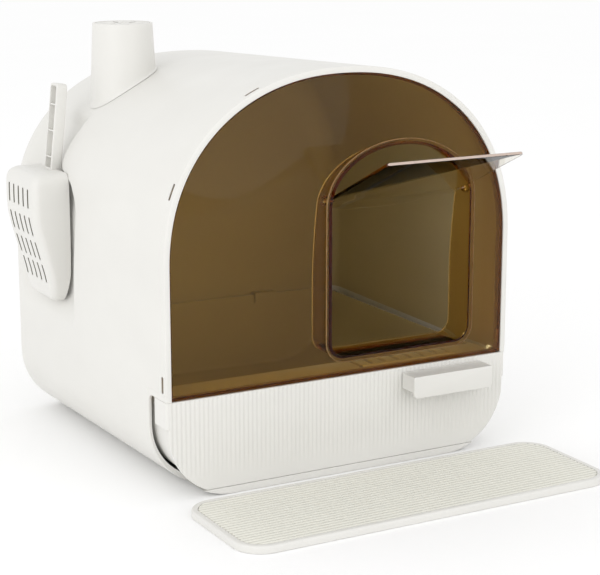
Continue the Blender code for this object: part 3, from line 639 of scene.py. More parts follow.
# ---- hood ------------------------------------------------------------------------------------------------
RIM_DEPTH = 14 * MM
LEVEL_FROM_Y = (-145 * MM, -140 * MM)   # rings before this lie square to the hood: outside, inside
SILL_Z = 8.5 * MM               # top of the sill under the drawer
CUT_BACK_Y = -160 * MM          # front edge of the side walls beside the drawer
CUT_LOW_Z = 8 * MM              # bottom of the cut beside the drawer
ROOF_HOLE_Z = (320 * MM, 450 * MM)
PEG_HOLE_X, PEG_R = (-215 * MM, -185 * MM), 4 * MM
RAIL_X, RAIL_Y = 110 * MM, (-145 * MM, 178 * MM)    # the two rails that the tray slides on
SNAP_DEGREES, SNAP_FOOT_Z, SNAP_Y = (22, 62, 118, 158), 123 * MM, 8 * MM
# length along the rim, thickness, and from where to where inwards of the outline
SLIT = (17 * MM, 4 * MM, -3 * MM, 9.5 * MM)
SNAP = (16 * MM, 3.2 * MM, 0.6 * MM, 8.1 * MM)
PAST_SIDES_X = 250 * MM
BAND_Y, BAND_STEP = -191.8 * MM, 0.35 * MM      # the narrow band along the front rim
STEP_Z, STEP_DEPTH = 113.5 * MM, 0.7 * MM       # the lowered corner over the drawer's cheek
RECESS_REAR_Y = (148 * MM, 184 * MM)
RECESS_LOW_Z, RECESS_HIGH_Z = (132 * MM, 170 * MM), (338 * MM, 366 * MM)
RECESS_LIP = (7 * MM, 1.4 * MM) # run of the recess's front wall, low down and above the bowl
RECESS_LIP_Z = (284 * MM, 302 * MM)
# front edge of the recess: height, place along the hood
RECESS_EDGE = [(120 * MM, 24 * MM), (150 * MM, 24 * MM), (200 * MM, 22 * MM), (240 * MM, 16 * MM),
               (262 * MM, 15 * MM), (276 * MM, 20 * MM), (286 * MM, 30 * MM), (295.5 * MM, 42 * MM),
               (302 * MM, 60 * MM), (310 * MM, 74 * MM), (325 * MM, 77 * MM), (340 * MM, 75 * MM),
               (356 * MM, 72 * MM), (390 * MM, 72 * MM)]


def hood_size(y):
    """Half width and height of the hood's section at y."""
    sizes = settings().hood
    t = (y - HOOD_LOW.y) / (HOOD_HIGH.y - HOOD_LOW.y)
    return lerp(sizes.front_half, sizes.rear_half, t), lerp(sizes.front_top, sizes.rear_top, t)


def hood_columns():
    """The lines that run along the hood, from the right foot of the arch round the whole section."""
    sizes = settings().hood
    side_z = [sizes.spring - 8 * MM * i for i in range(1, 15)]
    side_z += [STEP_Z + lift * MM for lift in (3, 0.7, 0.1, -0.5, -3)]
    side_z += [z * MM for z in (104, 98, 90, 82)]
    corner = [90 * i / 14 for i in range(15)]
    columns = [("arch", math.pi * i / 132, 0) for i in range(133)]
    columns += [("side", z, -1) for z in side_z]
    columns += [("corner", math.radians(angle), -1) for angle in corner]
    columns += [("corner", math.radians(90 - angle), 1) for angle in corner]
    columns += [("side", z, 1) for z in reversed(side_z)]
    return columns


def section_point(column, y, inset=0.0, base=None):
    """Where a column meets the hood's section at y, moved inwards by inset; base is the floor's height."""
    sizes = settings().hood
    kind, value, side = column
    half, top = hood_size(y)
    half, top = half - inset, top - inset
    base = inset if base is None else base
    radius = sizes.corner - max(inset, base)
    if kind == "arch":
        return arch_point(value, half, sizes.spring, top, sizes.power)
    if kind == "side":
        return side * half, value
    return (side * (half - radius + radius * math.cos(value)),
            base + radius - radius * math.sin(value))


def recess_edge(z):
    return through(RECESS_EDGE, min(max(z, RECESS_EDGE[0][0]), RECESS_EDGE[-1][0]))


def recess_depth(y, z, edge):
    """How far the hood's side is drawn in at y and z, behind the recess's front edge."""
    along = 1.0 - smooth(*RECESS_REAR_Y, y)
    up = smooth(*RECESS_LOW_Z, z) * (1.0 - smooth(*RECESS_HIGH_Z, z))
    depth = settings().hood.recess * along * up - 1.5 * MM
    lip = lerp(*RECESS_LIP, smooth(*RECESS_LIP_Z, z))
    return max(depth, 0.0) * smooth(edge, edge + lip, y)


def front_steps(y, z):
    """The shallow steps near the front: the rim's band, and the lowered corner over the cheek."""
    band = BAND_STEP * (1.0 - smooth(BAND_Y - 0.5 * MM, BAND_Y, y)) * (1.0 - smooth(240 * MM, 330 * MM, z))
    corner = STEP_DEPTH * (1.0 - smooth(STEP_Z - 0.4 * MM, STEP_Z, z))
    corner *= 1.0 - smooth(CUT_BACK_Y + 1.4 * MM, CUT_BACK_Y + 2 * MM, y)
    return max(band, corner)


def hood_ring(columns, y_at, inset=0.0, base=None, size_y=None, outside=True, edge_shift=0.0):
    """One ring of the hood's skin. y_at gives y from the recess edge at the column's height."""
    ring = []
    for column in columns:
        edge = recess_edge(section_point(column, HOOD_LOW.y)[1]) - edge_shift
        y = y_at(edge)
        x, z = section_point(column, y if size_y is None else size_y, inset, base)
        drawn_in = recess_depth(y, z, edge) if x < 0 else 0.0
        if outside:
            drawn_in = max(drawn_in, front_steps(y, z))
        if y < CUT_BACK_Y + 10 * MM and not outside:
            drawn_in = 0.0
        x -= math.copysign(min(drawn_in, abs(x)), x)
        ring.append(Vector((x, y, z)))
    return ring


def hood_rings():
    """Rings from the back wall forwards along the outside, round the rim and back along the inside.
    Returns them with the number of the first ring of the lining."""
    sizes = settings().hood
    columns = hood_columns()
    front, rear = HOOD_LOW.y, HOOD_HIGH.y
    straight_rear, inner_rear = rear - sizes.rear_round, rear - sizes.wall
    round_from = inner_rear - sizes.lining_round

    def fixed(y, inset=0.0, **others):
        return hood_ring(columns, lambda edge: y, inset, **others)

    def lined(y_at):
        return hood_ring(columns, y_at, sizes.wall, outside=False, edge_shift=sizes.wall)

    outside = []
    for i in range(9):
        angle = math.radians(90 - 10 * i)
        outside.append(fixed(rear - sizes.rear_round * (1 - math.sin(angle)),
                             sizes.rear_round * (1 - math.cos(angle))))
    outside += [hood_ring(columns, lambda edge: lerp(straight_rear, edge + 10 * MM, t))
                for t in spread(0.0, 1.0, 26)]
    outside += [hood_ring(columns, lambda edge: edge + offset * MM) for offset in
                (9, 7.4, 6.2, 5, 4, 3, 2.2, 1.6, 1.3, 1.0, 0.7, 0.4, 0.2, 0, -0.4, -1.2)]
    outside += [hood_ring(columns, lambda edge: lerp(edge - 3 * MM, LEVEL_FROM_Y[0], t))
                for t in spread(0.0, 1.0, 16)]
    outside += [fixed(y * MM) for y in (-145, -154, -157.8, -158.2, -158.7, -161, -170, -182, -190, -191.6,
                                        -191.9, -192.2, -192.6, -196, -198.6)]
    outside += [fixed(front + 0.5 * MM, 0.15 * MM), fixed(front + 0.15 * MM, 0.5 * MM), fixed(front, 1 * MM)]

    inside = [fixed(front + depth, sizes.rim - inset, base=SILL_Z, size_y=front, outside=False)
              for depth, inset in ((0.0, 0.6 * MM), (0.2 * MM, 0.15 * MM), (0.6 * MM, 0.0), (RIM_DEPTH, 0.0))]
    lining_from = len(outside) + len(inside) - 1
    inside += [fixed(front + RIM_DEPTH + 3 * MM, sizes.wall, base=SILL_Z, outside=False),
               fixed(CUT_BACK_Y + 3 * MM, sizes.wall, base=SILL_Z, outside=False),
               fixed(CUT_BACK_Y + 8 * MM, sizes.wall, outside=False)]
    inside += [lined(lambda edge: lerp(LEVEL_FROM_Y[1], edge - 3 * MM, t)) for t in spread(0.0, 1.0, 8)]
    inside += [lined(lambda edge: edge + offset * MM) for offset in (-1.2, 0, 0.4, 0.8, 1.2, 1.6, 2.4)]
    inside += [lined(lambda edge: lerp(edge + 5 * MM, round_from, t)) for t in spread(0.0, 1.0, 14)]
    for i in range(13):
        angle = math.radians(7.5 * i)
        inside.append(fixed(round_from + sizes.lining_round * math.sin(angle),
                            sizes.wall + sizes.lining_round * (1 - math.cos(angle)), outside=False))
    return outside + inside, lining_from


def snap_places():
    """Where the front's snaps stand in the rim: point on the outline, tangent and outward normal."""
    sizes = settings().hood
    half, top = hood_size(HOOD_LOW.y)
    places = []
    for degrees in SNAP_DEGREES:
        ends = [Vector((x, 0, z)) for x, z in
                (arch_point(math.radians(degrees) + turn, half, sizes.spring, top, sizes.power)
                 for turn in (-0.01, 0.0, 0.01))]
        tangent = (ends[2] - ends[0]).normalized()
        places.append((ends[1], tangent, Vector((tangent.z, 0, -tangent.x))))
    for side in (-1, 1):
        places.append((Vector((side * half, 0, SNAP_FOOT_Z)), Vector((0, 0, side)), Vector((side, 0, 0))))
    return places


def snap_block(name, place, extent, thick, low, high):
    """A block along the rim, from low to high inwards of the outline, with rounded ends."""
    point, tangent, normal = place
    outline = rounded_box((-extent / 2, -thick / 2), (extent / 2, thick / 2), thick * 0.3, 4)
    y = HOOD_LOW.y + SNAP_Y
    return prism(name, outline, low, high,
                 lambda u, v, w: point + tangent * u + Vector((0, y + v, 0)) - normal * w)


def upright_prism(name, outline, low, high, edge=0.0):
    """An outline in y and z, thick along x."""
    return prism(name, outline, low, high, lambda u, v, w: Vector((w, u, v)), edge)


class LITTERBOX_OT_hood(bpy.types.Operator):
    """Make the arched hood with its recess, rim, slits and lining"""

    bl_idname = "litterbox.hood"
    bl_label = "Hood"

    def execute(self, context):
        rings, lining_from = hood_rings()
        # the rings from lining_from on get the lining's painted shade of the tinted light
        hood = loose("hood", loft("hood", rings, second_finish_from=lining_from))
        front, low = HOOD_LOW.y - 5 * MM, settings().front.low
        beside = arc((CUT_BACK_Y - 6 * MM, low - 6 * MM), 6 * MM, 0, 90, 8)
        beside += [(front, low), (front, CUT_LOW_Z), (CUT_BACK_Y, CUT_LOW_Z)]
        tools = [upright_prism("beside_drawer", beside, -PAST_SIDES_X, PAST_SIDES_X)]
        roof_hole = [(CAP_MIDDLE.x, CAP_MIDDLE.y, z) for z in ROOF_HOLE_Z]
        tools.append(rod("roof_hole", *roof_hole, SPIGOT_R + GAP))
        tools += [snap_block("slit", place, *SLIT) for place in snap_places()]
        tools.append(rod("peg_hole", *((x, SCOOP_MIDDLE_Y, HOOK_Z) for x in PEG_HOLE_X), PEG_R + GAP))
        cut(hood, tools)
        join(hood, [block("rail", (side * RAIL_X - 6 * MM, RAIL_Y[0], 2 * MM),
                          (side * RAIL_X + 6 * MM, RAIL_Y[1], TRAY_LOW.z - GAP), 1 * MM) for side in (-1, 1)])
        for polygon in hood.data.polygons:      # the drawer's bay has the shell's own white, without the lining's painted shade
            if polygon.center.z < low:
                polygon.material_index = 0
        finish_piece(hood, "hood_shell", [shell_plastic(), lining_painted_shade()], "housing", "white_shell",
                     "housing")
        return {"FINISHED"}


# ---- tinted front ----------------------------------------------------------------------------------------
DOOR_CORNER_R = 15 * MM
TUNNEL_FULL_Z, TUNNEL_TOP_Z, TUNNEL_SHALLOW = 200 * MM, 349.5 * MM, 8 * MM     # it's shallower upwards
LIP_EDGE_FROM = 9               # first ring of the lip's cut edge
BUSH_BORE_R, PIVOT_R, PIVOT_REACH = 4.5 * MM, 2.4 * MM, 3.6 * MM


def panel_outline(inset):
    """The tinted sheet's edge, moved inwards by inset."""
    sizes, hood = settings().front, settings().hood
    half, top = hood_size(HOOD_LOW.y)
    edge = hood.rim + GAP + inset
    low = sizes.low + GAP + inset
    foot = half - edge
    heights = spread(hood.spring - 8 * MM, low + 2 * MM, 12)
    return (arch(foot, hood.spring, top - edge, hood.power, 120) + [(-foot, z) for z in heights]
            + foot_corners(0.0, foot, low, 1.5 * MM, 4) + [(foot, z) for z in reversed(heights)])


def door_outline(grow):
    """The doorway's edge, moved outwards by grow."""
    sizes = settings().front
    middle, half = sizes.door_x, sizes.door_half + grow
    heights = spread(sizes.door_spring - 6 * MM, 150 * MM, 18)
    outline = [(middle + x, z) for x, z in arch(half, sizes.door_spring, sizes.door_top + grow, 2.0, 72)]
    outline += [(middle - half, z) for z in heights]
    outline += foot_corners(middle, half, sizes.door_low - grow, DOOR_CORNER_R + grow, 10)
    outline += [(middle + half, z) for z in reversed(heights)]
    return outline


def standing(outline, y):
    """An outline of x and z as points at y."""
    return [Vector((x, y, z)) for x, z in outline]


class LITTERBOX_OT_front_panel(bpy.types.Operator):
    """Make the tinted front with its doorway, its return edge and its snaps"""

    bl_idname = "litterbox.front_panel"
    bl_label = "Tinted front"

    def execute(self, context):
        face = HOOD_LOW.y + 1 * MM
        behind = face + settings().front.sheet
        back = HOOD_LOW.y + RIM_DEPTH - 1 * MM
        outer = [(0.6, face), (0.18, face + 0.18 * MM), (0.0, face + 0.6 * MM), (0.0, back - 0.3 * MM),
                 (0.3, back), (1.9, back), (2.2, back - 0.3 * MM), (2.2, behind + 0.6 * MM), (2.8, behind)]
        hole = [(3.6, face), (3.3, face + 0.3 * MM), (3.3, behind - 0.3 * MM), (3.6, behind)]
        mesh = sheet_with_hole("tinted_panel",
                               [standing(panel_outline(inset * MM), y) for inset, y in outer],
                               [standing(door_outline(grow * MM), y) for grow, y in hole])
        panel = loose("tinted_panel", mesh)
        join(panel, [snap_block("snap", place, *SNAP) for place in snap_places()])
        finish_piece(panel, "tinted_panel", [tinted_plastic()], "housing", "tinted_plastic", "front_panel",
                     crease=40)
        return {"FINISHED"}


class LITTERBOX_OT_door_tunnel(bpy.types.Operator):
    """Make the tinted tunnel round the doorway, with its lip"""

    bl_idname = "litterbox.door_tunnel"
    bl_label = "Doorway tunnel"

    def execute(self, context):
        sizes = settings().front
        front, lip, lip_back = COLLAR_LOW.y, sizes.lip, HOOD_LOW.y + 0.7 * MM

        def rear(z):
            rise = min(max((z - TUNNEL_FULL_Z) / (TUNNEL_TOP_Z - TUNNEL_FULL_Z), 0.0), 1.0)
            return HOOD_LOW.y + TUNNEL_SHALLOW + (sizes.tunnel - TUNNEL_SHALLOW) * (1 - rise**1.5) ** 0.667

        def before_rear(z):
            return rear(z) - 0.5 * MM

        profile = [(lip - 0.6 * MM, front), (0.5 * MM, front), (0.14 * MM, front + 0.14 * MM),
                   (0.0, front + 0.5 * MM), (0.0, before_rear), (0.6 * MM, rear), (2.4 * MM, rear),
                   (3 * MM, before_rear), (3 * MM, lip_back), (lip - 0.4 * MM, lip_back),
                   (lip, lip_back - 0.4 * MM), (lip, front + 0.6 * MM), (lip - 0.18 * MM, front + 0.18 * MM)]
        rings = [[Vector((x, y(z) if callable(y) else y, z)) for x, z in door_outline(grow)]
                 for grow, y in profile]
        skin = loft("door_tunnel", rings, closed=True, second_finish_from=LIP_EDGE_FROM)
        tunnel = loose("door_tunnel", skin)
        bore = [(sizes.door_x + reach, sizes.hinge_y, sizes.hinge_z) for reach in (-0.1, 0.1)]
        cut(tunnel, [rod("bush_bore", *bore, BUSH_BORE_R)])
        glow = tinted_plastic("lip_edge", SHEET_DENSITY, settings().colours.edge)
        finish_piece(tunnel, "door_tunnel", [tinted_plastic(), glow], "housing", "tinted_plastic",
                     "door_collar", crease=40)
        return {"FINISHED"}


class LITTERBOX_OT_flap(bpy.types.Operator):
    """Make the swinging door, as it stands open on its two pivots"""

    bl_idname = "litterbox.flap"
    bl_label = "Flap"

    def execute(self, context):
        sizes = settings().front
        half, drop, sheet = sizes.flap_half, sizes.flap_drop, sizes.sheet
        hinge = Vector((sizes.door_x, sizes.hinge_y, sizes.hinge_z))
        turn = Matrix.Rotation(-sizes.flap_open, 3, "X")
        edge = 0.7 * MM

        def outline(inset):
            return (arch(half - inset, 0.0, sizes.flap_rise - inset, 2.0, 64)
                    + foot_corners(0.0, half - inset, -drop + inset, FLAP_CORNER_R - inset, 10))

        rounding = [math.radians(22.5 * i) for i in range(5)]
        levels = [(edge * (1 - math.sin(a)), -sheet / 2 + edge * (1 - math.cos(a))) for a in rounding]
        levels += [(inset, -depth) for inset, depth in reversed(levels)]
        rings = [[hinge + turn @ point for point in standing(outline(inset), depth)]
                 for inset, depth in levels]
        flap = loose("flap", loft("flap", rings))
        reach = sizes.door_half + PIVOT_REACH
        join(flap, [rod("pivot", hinge + Vector((side * (half - 6 * MM), 0, 0)),
                        hinge + Vector((side * reach, 0, 0)), PIVOT_R, 0.4 * MM) for side in (-1, 1)])
        free_edge = turn @ Vector((0, 0, -1))
        for polygon in flap.data.polygons:
            polygon.material_index = int(polygon.normal.dot(free_edge) > 0.75)
        clear = tinted_plastic("flap_acrylic", FLAP_DENSITY)
        glow = tinted_plastic("flap_edge", FLAP_DENSITY, settings().colours.flap_edge)
        finish_piece(flap, "door_flap_sheet", [clear, glow], "flap", "tinted_plastic", "door_flap",
                     crease=40)
        return {"FINISHED"}


# ---- litter drawer ---------------------------------------------------------------------------------------
def tray_section(inset, low, high, steps=20):
    """The tray's section: straight sides down to round lower corners."""
    radius = settings().drawer.tray_corner - inset
    half = TRAY_HIGH.x - inset
    return [(half, high), (-half, high)] + foot_corners(0.0, half, low + inset, radius, steps)


def along_box(outline, low_y, high_y, edge):
    """An outline of x and z, thick along y, its ends rounded by edge."""
    return prism("along_box", outline, low_y, high_y, lambda u, v, w: Vector((u, w, v)), edge)


SHELF = (-172 * MM, -136 * MM)  # front and rear of the shelf at the cat's entry
GUTTER_Z = 86.5 * MM            # underside of the gutter behind the drawer's front
FASCIA_T = 3.7 * MM
CHEEK_INNER_X, CHEEK_ROUND = 199 * MM, 3.2 * MM
PULL_FACE_T, PULL_BODY_Z = 3.5 * MM, 83 * MM


class LITTERBOX_OT_tray(bpy.types.Operator):
    """Make the litter tray with its shelf and gutter behind the drawer's front"""

    bl_idname = "litterbox.tray"
    bl_label = "Litter tray"

    def execute(self, context):
        wall = settings().drawer.tray_wall
        low, high = TRAY_LOW, TRAY_HIGH
        tray = along_box(tray_section(0.0, low.z, high.z), low.y, high.y, 1 * MM)
        hollow = tray_section(wall, low.z, high.z + 25 * MM)
        cut(tray, [along_box(hollow, low.y + wall, high.y - wall, 3 * MM)])
        half = high.x - 1 * MM
        join(tray, [block("shelf", (-half, SHELF[0], high.z - 2.5 * MM), (half, SHELF[1], high.z), 0.8 * MM),
                    block("web", (-half, SHELF[0], GUTTER_Z + 1.5 * MM),
                          (half, SHELF[0] + 2.5 * MM, high.z - 1 * MM)),
                    block("gutter", (-half, low.y + 1 * MM, GUTTER_Z),
                          (half, SHELF[0] + 2 * MM, GUTTER_Z + 2.5 * MM))])
        for polygon in tray.data.polygons:      # painted shade: the trough inside, behind the shelf's front, takes the lining's brown shade
            place = polygon.center
            outward = place - Vector((0.0, (SHELF[1] + high.y) / 2, high.z))
            inside = polygon.normal.dot(outward) < 0 and place.z < high.z - 0.2 * MM
            polygon.material_index = int(inside and place.y > SHELF[1] + 0.1 * MM)
        finish_piece(tray, "litter_tray", [shell_plastic(), lining_painted_shade()], "drawer", "white_shell",
                     "drawer_tray")
        return {"FINISHED"}


def fascia_columns():
    """Places across the drawer's front with the height at which its edge starts there."""
    hood = settings().hood
    half = hood.front_half - 3 * MM
    radius = hood.corner - 3 * MM
    step = settings().drawer.flute_pitch / 8
    low = FASCIA_LOW.z
    corner = [math.radians(90 * i / 120) for i in range(1, 121)]
    rising = [(half - radius + radius * math.sin(a), hood.corner - radius * math.cos(a)) for a in corner]
    middle = round(2 * (half - radius) / step)
    flat = [(lerp(radius - half, half - radius, i / middle), low) for i in range(middle + 1)]
    right = [(x, max(z, low)) for x, z in rising]
    return [(-x, z) for x, z in reversed(right)] + flat + right


class LITTERBOX_OT_fascia(bpy.types.Operator):
    """Make the drawer's finely fluted front with its two short side returns"""

    bl_idname = "litterbox.fascia"
    bl_label = "Drawer front"

    def execute(self, context):
        sizes = settings().drawer
        face, back, high = FASCIA_LOW.y, FASCIA_LOW.y + FASCIA_T, FASCIA_HIGH.z
        columns = fascia_columns()
        (left, left_z), (right, right_z) = columns[0], columns[-1]
        fine = [(left + inset, left_z, back_by) for inset, back_by in SOFT_EDGE[:-1]]
        fine += [(x, z, 0.0) for x, z in columns if left + 1 * MM < x < right - 1 * MM]
        fine += [(right - inset, right_z, back_by) for inset, back_by in reversed(SOFT_EDGE[:-1])]
        grid = []
        for x, low, set_back in fine:
            low_rim = [(low - 0.5 * MM, 0.3 * MM), (low - 0.3 * MM, 0.1 * MM), (low, 0.0)]
            heights = low_rim + [(lerp(low, high - 1 * MM, i / 15), 0.0) for i in range(1, 15)]
            heights += [(high - inset, back_by) for inset, back_by in reversed(SOFT_EDGE)]
            column = []
            for z, back_by in heights:
                fade = smooth(FASCIA_LOW.z + sizes.plain_band, FASCIA_LOW.z + 2.2 * sizes.plain_band, z)
                flute = 0.5 - 0.5 * math.cos(math.tau * (x - FASCIA_LOW.x) / sizes.flute_pitch)
                y = face + max(back_by, set_back, sizes.flute_depth * flute * fade)
                column.append(Vector((x, y, z)))
            grid.append(column)
        front = loose("fascia", relief("fascia", grid, lambda point: Vector((point.x, back, point.z))))
        cheeks = []
        for side in (-1, 1):
            inner, outer = side * CHEEK_INNER_X, side * FASCIA_HIGH.x
            corner = (outer - side * CHEEK_ROUND, face + 0.4 * MM + CHEEK_ROUND)
            outline = [(inner, CHEEK_REAR_Y), (inner, face + 1 * MM)]
            outline += arc(corner, CHEEK_ROUND, 270, 360 if side > 0 else 180, 8) + [(outer, CHEEK_REAR_Y)]
            cheeks.append(prism("cheek", outline, CHEEK_LOW_Z, high, edge=0.4 * MM))
        join(front, cheeks)
        finish_piece(front, "fluted_fascia", [shell_plastic()], "drawer", "white_shell", "drawer_front",
                     crease=50)
        return {"FINISHED"}


class LITTERBOX_OT_handle(bpy.types.Operator):
    """Make the hooded pull on the drawer's front"""

    bl_idname = "litterbox.handle"
    bl_label = "Pull"

    def execute(self, context):
        low, high = HANDLE_LOW, HANDLE_HIGH
        wall = settings().drawer.handle_wall
        pull = block("pull", (low.x, low.y + 1 * MM, PULL_BODY_Z), (high.x, high.y, high.z), 0.9 * MM)
        outline = rounded_box((low.x, low.z), (high.x, high.z), 5 * MM, 8)
        top = [(x, z) for x, z in outline if z < high.z - 5 * MM]
        top += arc((low.x + 1 * MM, high.z - 1 * MM), 1 * MM, 180, 90, 4)
        top += arc((high.x - 1 * MM, high.z - 1 * MM), 1 * MM, 90, 0, 4)
        middle = ((low.x + high.x) / 2, (low.z + high.z) / 2)
        top.sort(key=lambda p: math.atan2(p[1] - middle[1], p[0] - middle[0]))
        join(pull, [along_box(top, low.y, low.y + PULL_FACE_T, 1 * MM)])
        cut(pull, [block("hollow", (low.x + wall, low.y + PULL_FACE_T, 60 * MM),
                         (high.x - wall, high.y + 20 * MM, high.z - wall), 1.5 * MM)])
        finish_piece(pull, "drawer_pull", [shell_plastic()], "drawer", "white_shell", "drawer_handle")
        return {"FINISHED"}


# ---- deodoriser tower ------------------------------------------------------------------------------------
SPIGOT_WALL, LEDGE_WIDTH, LEDGE_T = 2.4 * MM, 2.8 * MM, 2.5 * MM
CAP_HOLE_STEP, CAP_HOLE_R = 5 * MM, 1.8 * MM        # the cap's two small round holes


def tower_radius(z):
    sizes = settings().tower
    return lerp(sizes.low_radius, sizes.top_radius, (z - TOWER_LOW_Z) / (sizes.top - TOWER_LOW_Z))


def roof_height(x, y):
    """Height of the hood's roof above a point."""
    hood = settings().hood
    half, top = hood_size(y)
    across = min(abs(x) / half, 1.0)
    return hood.spring + (top - hood.spring) * (1 - across**hood.power) ** (1 / hood.power)


class LITTERBOX_OT_tower(bpy.types.Operator):
    """Make the deodoriser tower, its foot fitted to the arched roof, and its petal-vented cap"""

    bl_idname = "litterbox.tower"
    bl_label = "Tower and cap"

    def execute(self, context):
        self.make_tower()
        self.make_cap()
        return {"FINISHED"}

    def make_tower(self):
        sizes, middle = settings().tower, CAP_MIDDLE
        spigot_in = SPIGOT_R - SPIGOT_WALL

        def ring(point):
            points = []
            for i in range(128):
                c, s = math.cos(math.tau * i / 128), math.sin(math.tau * i / 128)
                radius, z = point(c, s)
                points.append(Vector((middle.x + radius * c, middle.y + radius * s, z)))
            return points

        def at_foot(lift, flare):
            def point(c, s):
                radius = sizes.low_radius + flare
                for _ in range(4):      # the foot's radius and height settle together
                    z = roof_height(middle.x + radius * c, middle.y + radius * s) + GAP + lift
                    radius = tower_radius(z) + flare
                return radius, z
            return point

        def above_foot(share):
            def point(c, s):
                _, foot = at_foot(5 * MM, 0.0)(c, s)
                z = lerp(foot, sizes.top - 0.4 * MM, share)
                return tower_radius(z), z
            return point

        def under(radius, lift):
            def point(c, s):
                return radius, roof_height(middle.x + radius * c, middle.y + radius * s) + GAP + lift
            return point

        def level(radius, z):
            return lambda c, s: (radius, z)

        flare = sizes.flare
        points = [at_foot(0.0, flare - 0.4 * MM), at_foot(0.3 * MM, flare), at_foot(0.9 * MM, flare),
                  at_foot(1.3 * MM, 0.7 * flare), at_foot(2.2 * MM, 0.3 * flare),
                  at_foot(3.4 * MM, 0.08 * flare)]
        points += [above_foot(i / 10) for i in range(11)]
        rim = sizes.top_radius
        seat_in, ledge_in = tower_radius(CAP_SEAT_Z) - sizes.wall, SPIGOT_R - LEDGE_WIDTH
        ledge_low = CAP_SEAT_Z - LEDGE_T
        points += [level(radius, z) for radius, z in (
            (rim - 0.12 * MM, sizes.top - 0.12 * MM), (rim - 0.4 * MM, sizes.top),
            (rim - sizes.wall + 0.3 * MM, sizes.top), (rim - sizes.wall, sizes.top - 0.3 * MM),
            (seat_in, CAP_SEAT_Z), (ledge_in, CAP_SEAT_Z), (ledge_in, ledge_low), (seat_in, ledge_low),
            (tower_radius(WEB_TOP_Z) - sizes.wall, WEB_TOP_Z), (spigot_in, WEB_TOP_Z),
            (spigot_in, SPIGOT_LOW_Z), (SPIGOT_R, SPIGOT_LOW_Z), (SPIGOT_R, SPIGOT_LOW_Z + 8 * MM))]
        points += [under(SPIGOT_R + 0.1 * MM, 2 * MM), under(SPIGOT_R + 1.5 * MM, 0.0)]
        tower = loose("tower", loft("tower", [ring(point) for point in points], closed=True))
        finish_piece(tower, "tower_tube", [shell_plastic()], "housing", "white_shell", "tower_body")

    def make_cap(self):
        sizes = settings().tower
        edge, low, top = sizes.top_radius - sizes.wall - GAP, CAP_LOW.z, CAP_HIGH.z
        profile = [(4 * MM, top - 0.9 * MM), (12 * MM, top - 0.6 * MM), (edge - 4 * MM, top)]
        profile += arc((edge - 0.8 * MM, top - 0.8 * MM), 0.8 * MM, 90, 0, 6)
        profile += [(edge, low + 0.2 * MM), (edge - 0.2 * MM, low), (edge - 1.6 * MM, low),
                    (edge - 1.8 * MM, low + 0.2 * MM), (edge - 1.8 * MM, top - 2.8 * MM),
                    (4 * MM, top - 3.2 * MM)]
        cap = loose("cap", loft("cap", turned(profile, CAP_MIDDLE)))
        vents = self.leaves("petal", 11 * MM, 27 * MM, 0.5, top - 12 * MM, top + 12 * MM,
                            lambda u: 2.1 * MM * math.cos(math.pi * (u - 19) / 17))
        for side in (-1, 1):
            y = CAP_MIDDLE.y + side * CAP_HOLE_STEP
            vents.append(rod("cap_hole", *((CAP_MIDDLE.x, y, top + reach) for reach in (-0.02, 0.02)),
                             CAP_HOLE_R, sides=24))
        join(cap, self.leaves("leaf", 9.3 * MM, 27.7 * MM, 0, top - 2 * MM, top,
                              lambda u: 4.2 * MM * math.sin(math.pi * (u - 9) / 19), 0.5 * MM))
        cut(cap, vents)
        finish_piece(cap, "vent_cap_top", [shell_plastic()], "cap", "white_shell", "vent_cap")

    def leaves(self, name, start, end, turn, low, high, half_width, edge=0.0):
        """Leaf shapes round the cap's middle, turned by a share of their spacing. They run from start to
        end, and half_width takes a place between them in millimetres."""
        count, base = settings().tower.petals, Vector((CAP_MIDDLE.x, CAP_MIDDLE.y, 0))
        shape = [(u, half_width(u / MM)) for u in (lerp(start, end, k / 16) for k in range(17))]
        shape += [(u, -v) for u, v in reversed(shape[1:-1])]
        made = []
        for i in range(count):
            angle = math.tau * (i + turn) / count
            along = Vector((math.cos(angle), math.sin(angle), 0))
            across = Vector((-along.y, along.x, 0))
            made.append(prism(name, shape, low, high,
                              lambda u, v, w: base + along * u + across * v + Vector((0, 0, w)), edge))
        return made


# ---- scoop -----------------------------------------------------------------------------------------------
# bowl sections from the tip to the heel: height, depth under the rim and half width, in millimetres
SCOOP_SECTIONS = [(157, 10.5, 27), (160, 14.5, 33), (167, 18, 38), (180, 22.5, 42), (200, 28, 44.5),
                  (222, 34, 45.5), (240, 38.5, 46), (256, 41.2, 46), (286, 41.4, 46), (294, 40, 45),
                  (298.5, 37, 42), (301, 33, 38)]
SCOOP_LEVELS = (157, 157.6, 158.4, 159.2, 160, 161.5, 163, 165, 167, 170, 174, 178, 182, 187, 192, 198,
                204, 210, 216, 222, 228, 234, 240, 246, 251, 256, 264, 272, 280, 286, 290, 292.5, 294.5,
                296.5, 298, 299.2, 300.2, 301)
# rows of slots: height of their upper ends, lean and depth of the bowl there
SCOOP_SLOTS = [(285, 0.0, 41), (254, 3.0, 41), (226, 13.0, 33), (200, 14.0, 27)]
SLOT_HALF_LENGTH = 11 * MM
HANDLE_FOOT_X, HANDLE_FOOT_Z = -204.5 * MM, 299 * MM
# the handle and the channel in it: half width, from where to where along it, and corner radius
HANDLE_SHAPE = (10.5 * MM, -4.6 * MM, 96 * MM, 5 * MM)
CHANNEL_SHAPE = (8 * MM, 3 * MM, 93.2 * MM, 3 * MM)
HANDLE_RIBS, HANDLE_RIB_T = (14, 43, 72), 1.6       # in millimetres along the handle


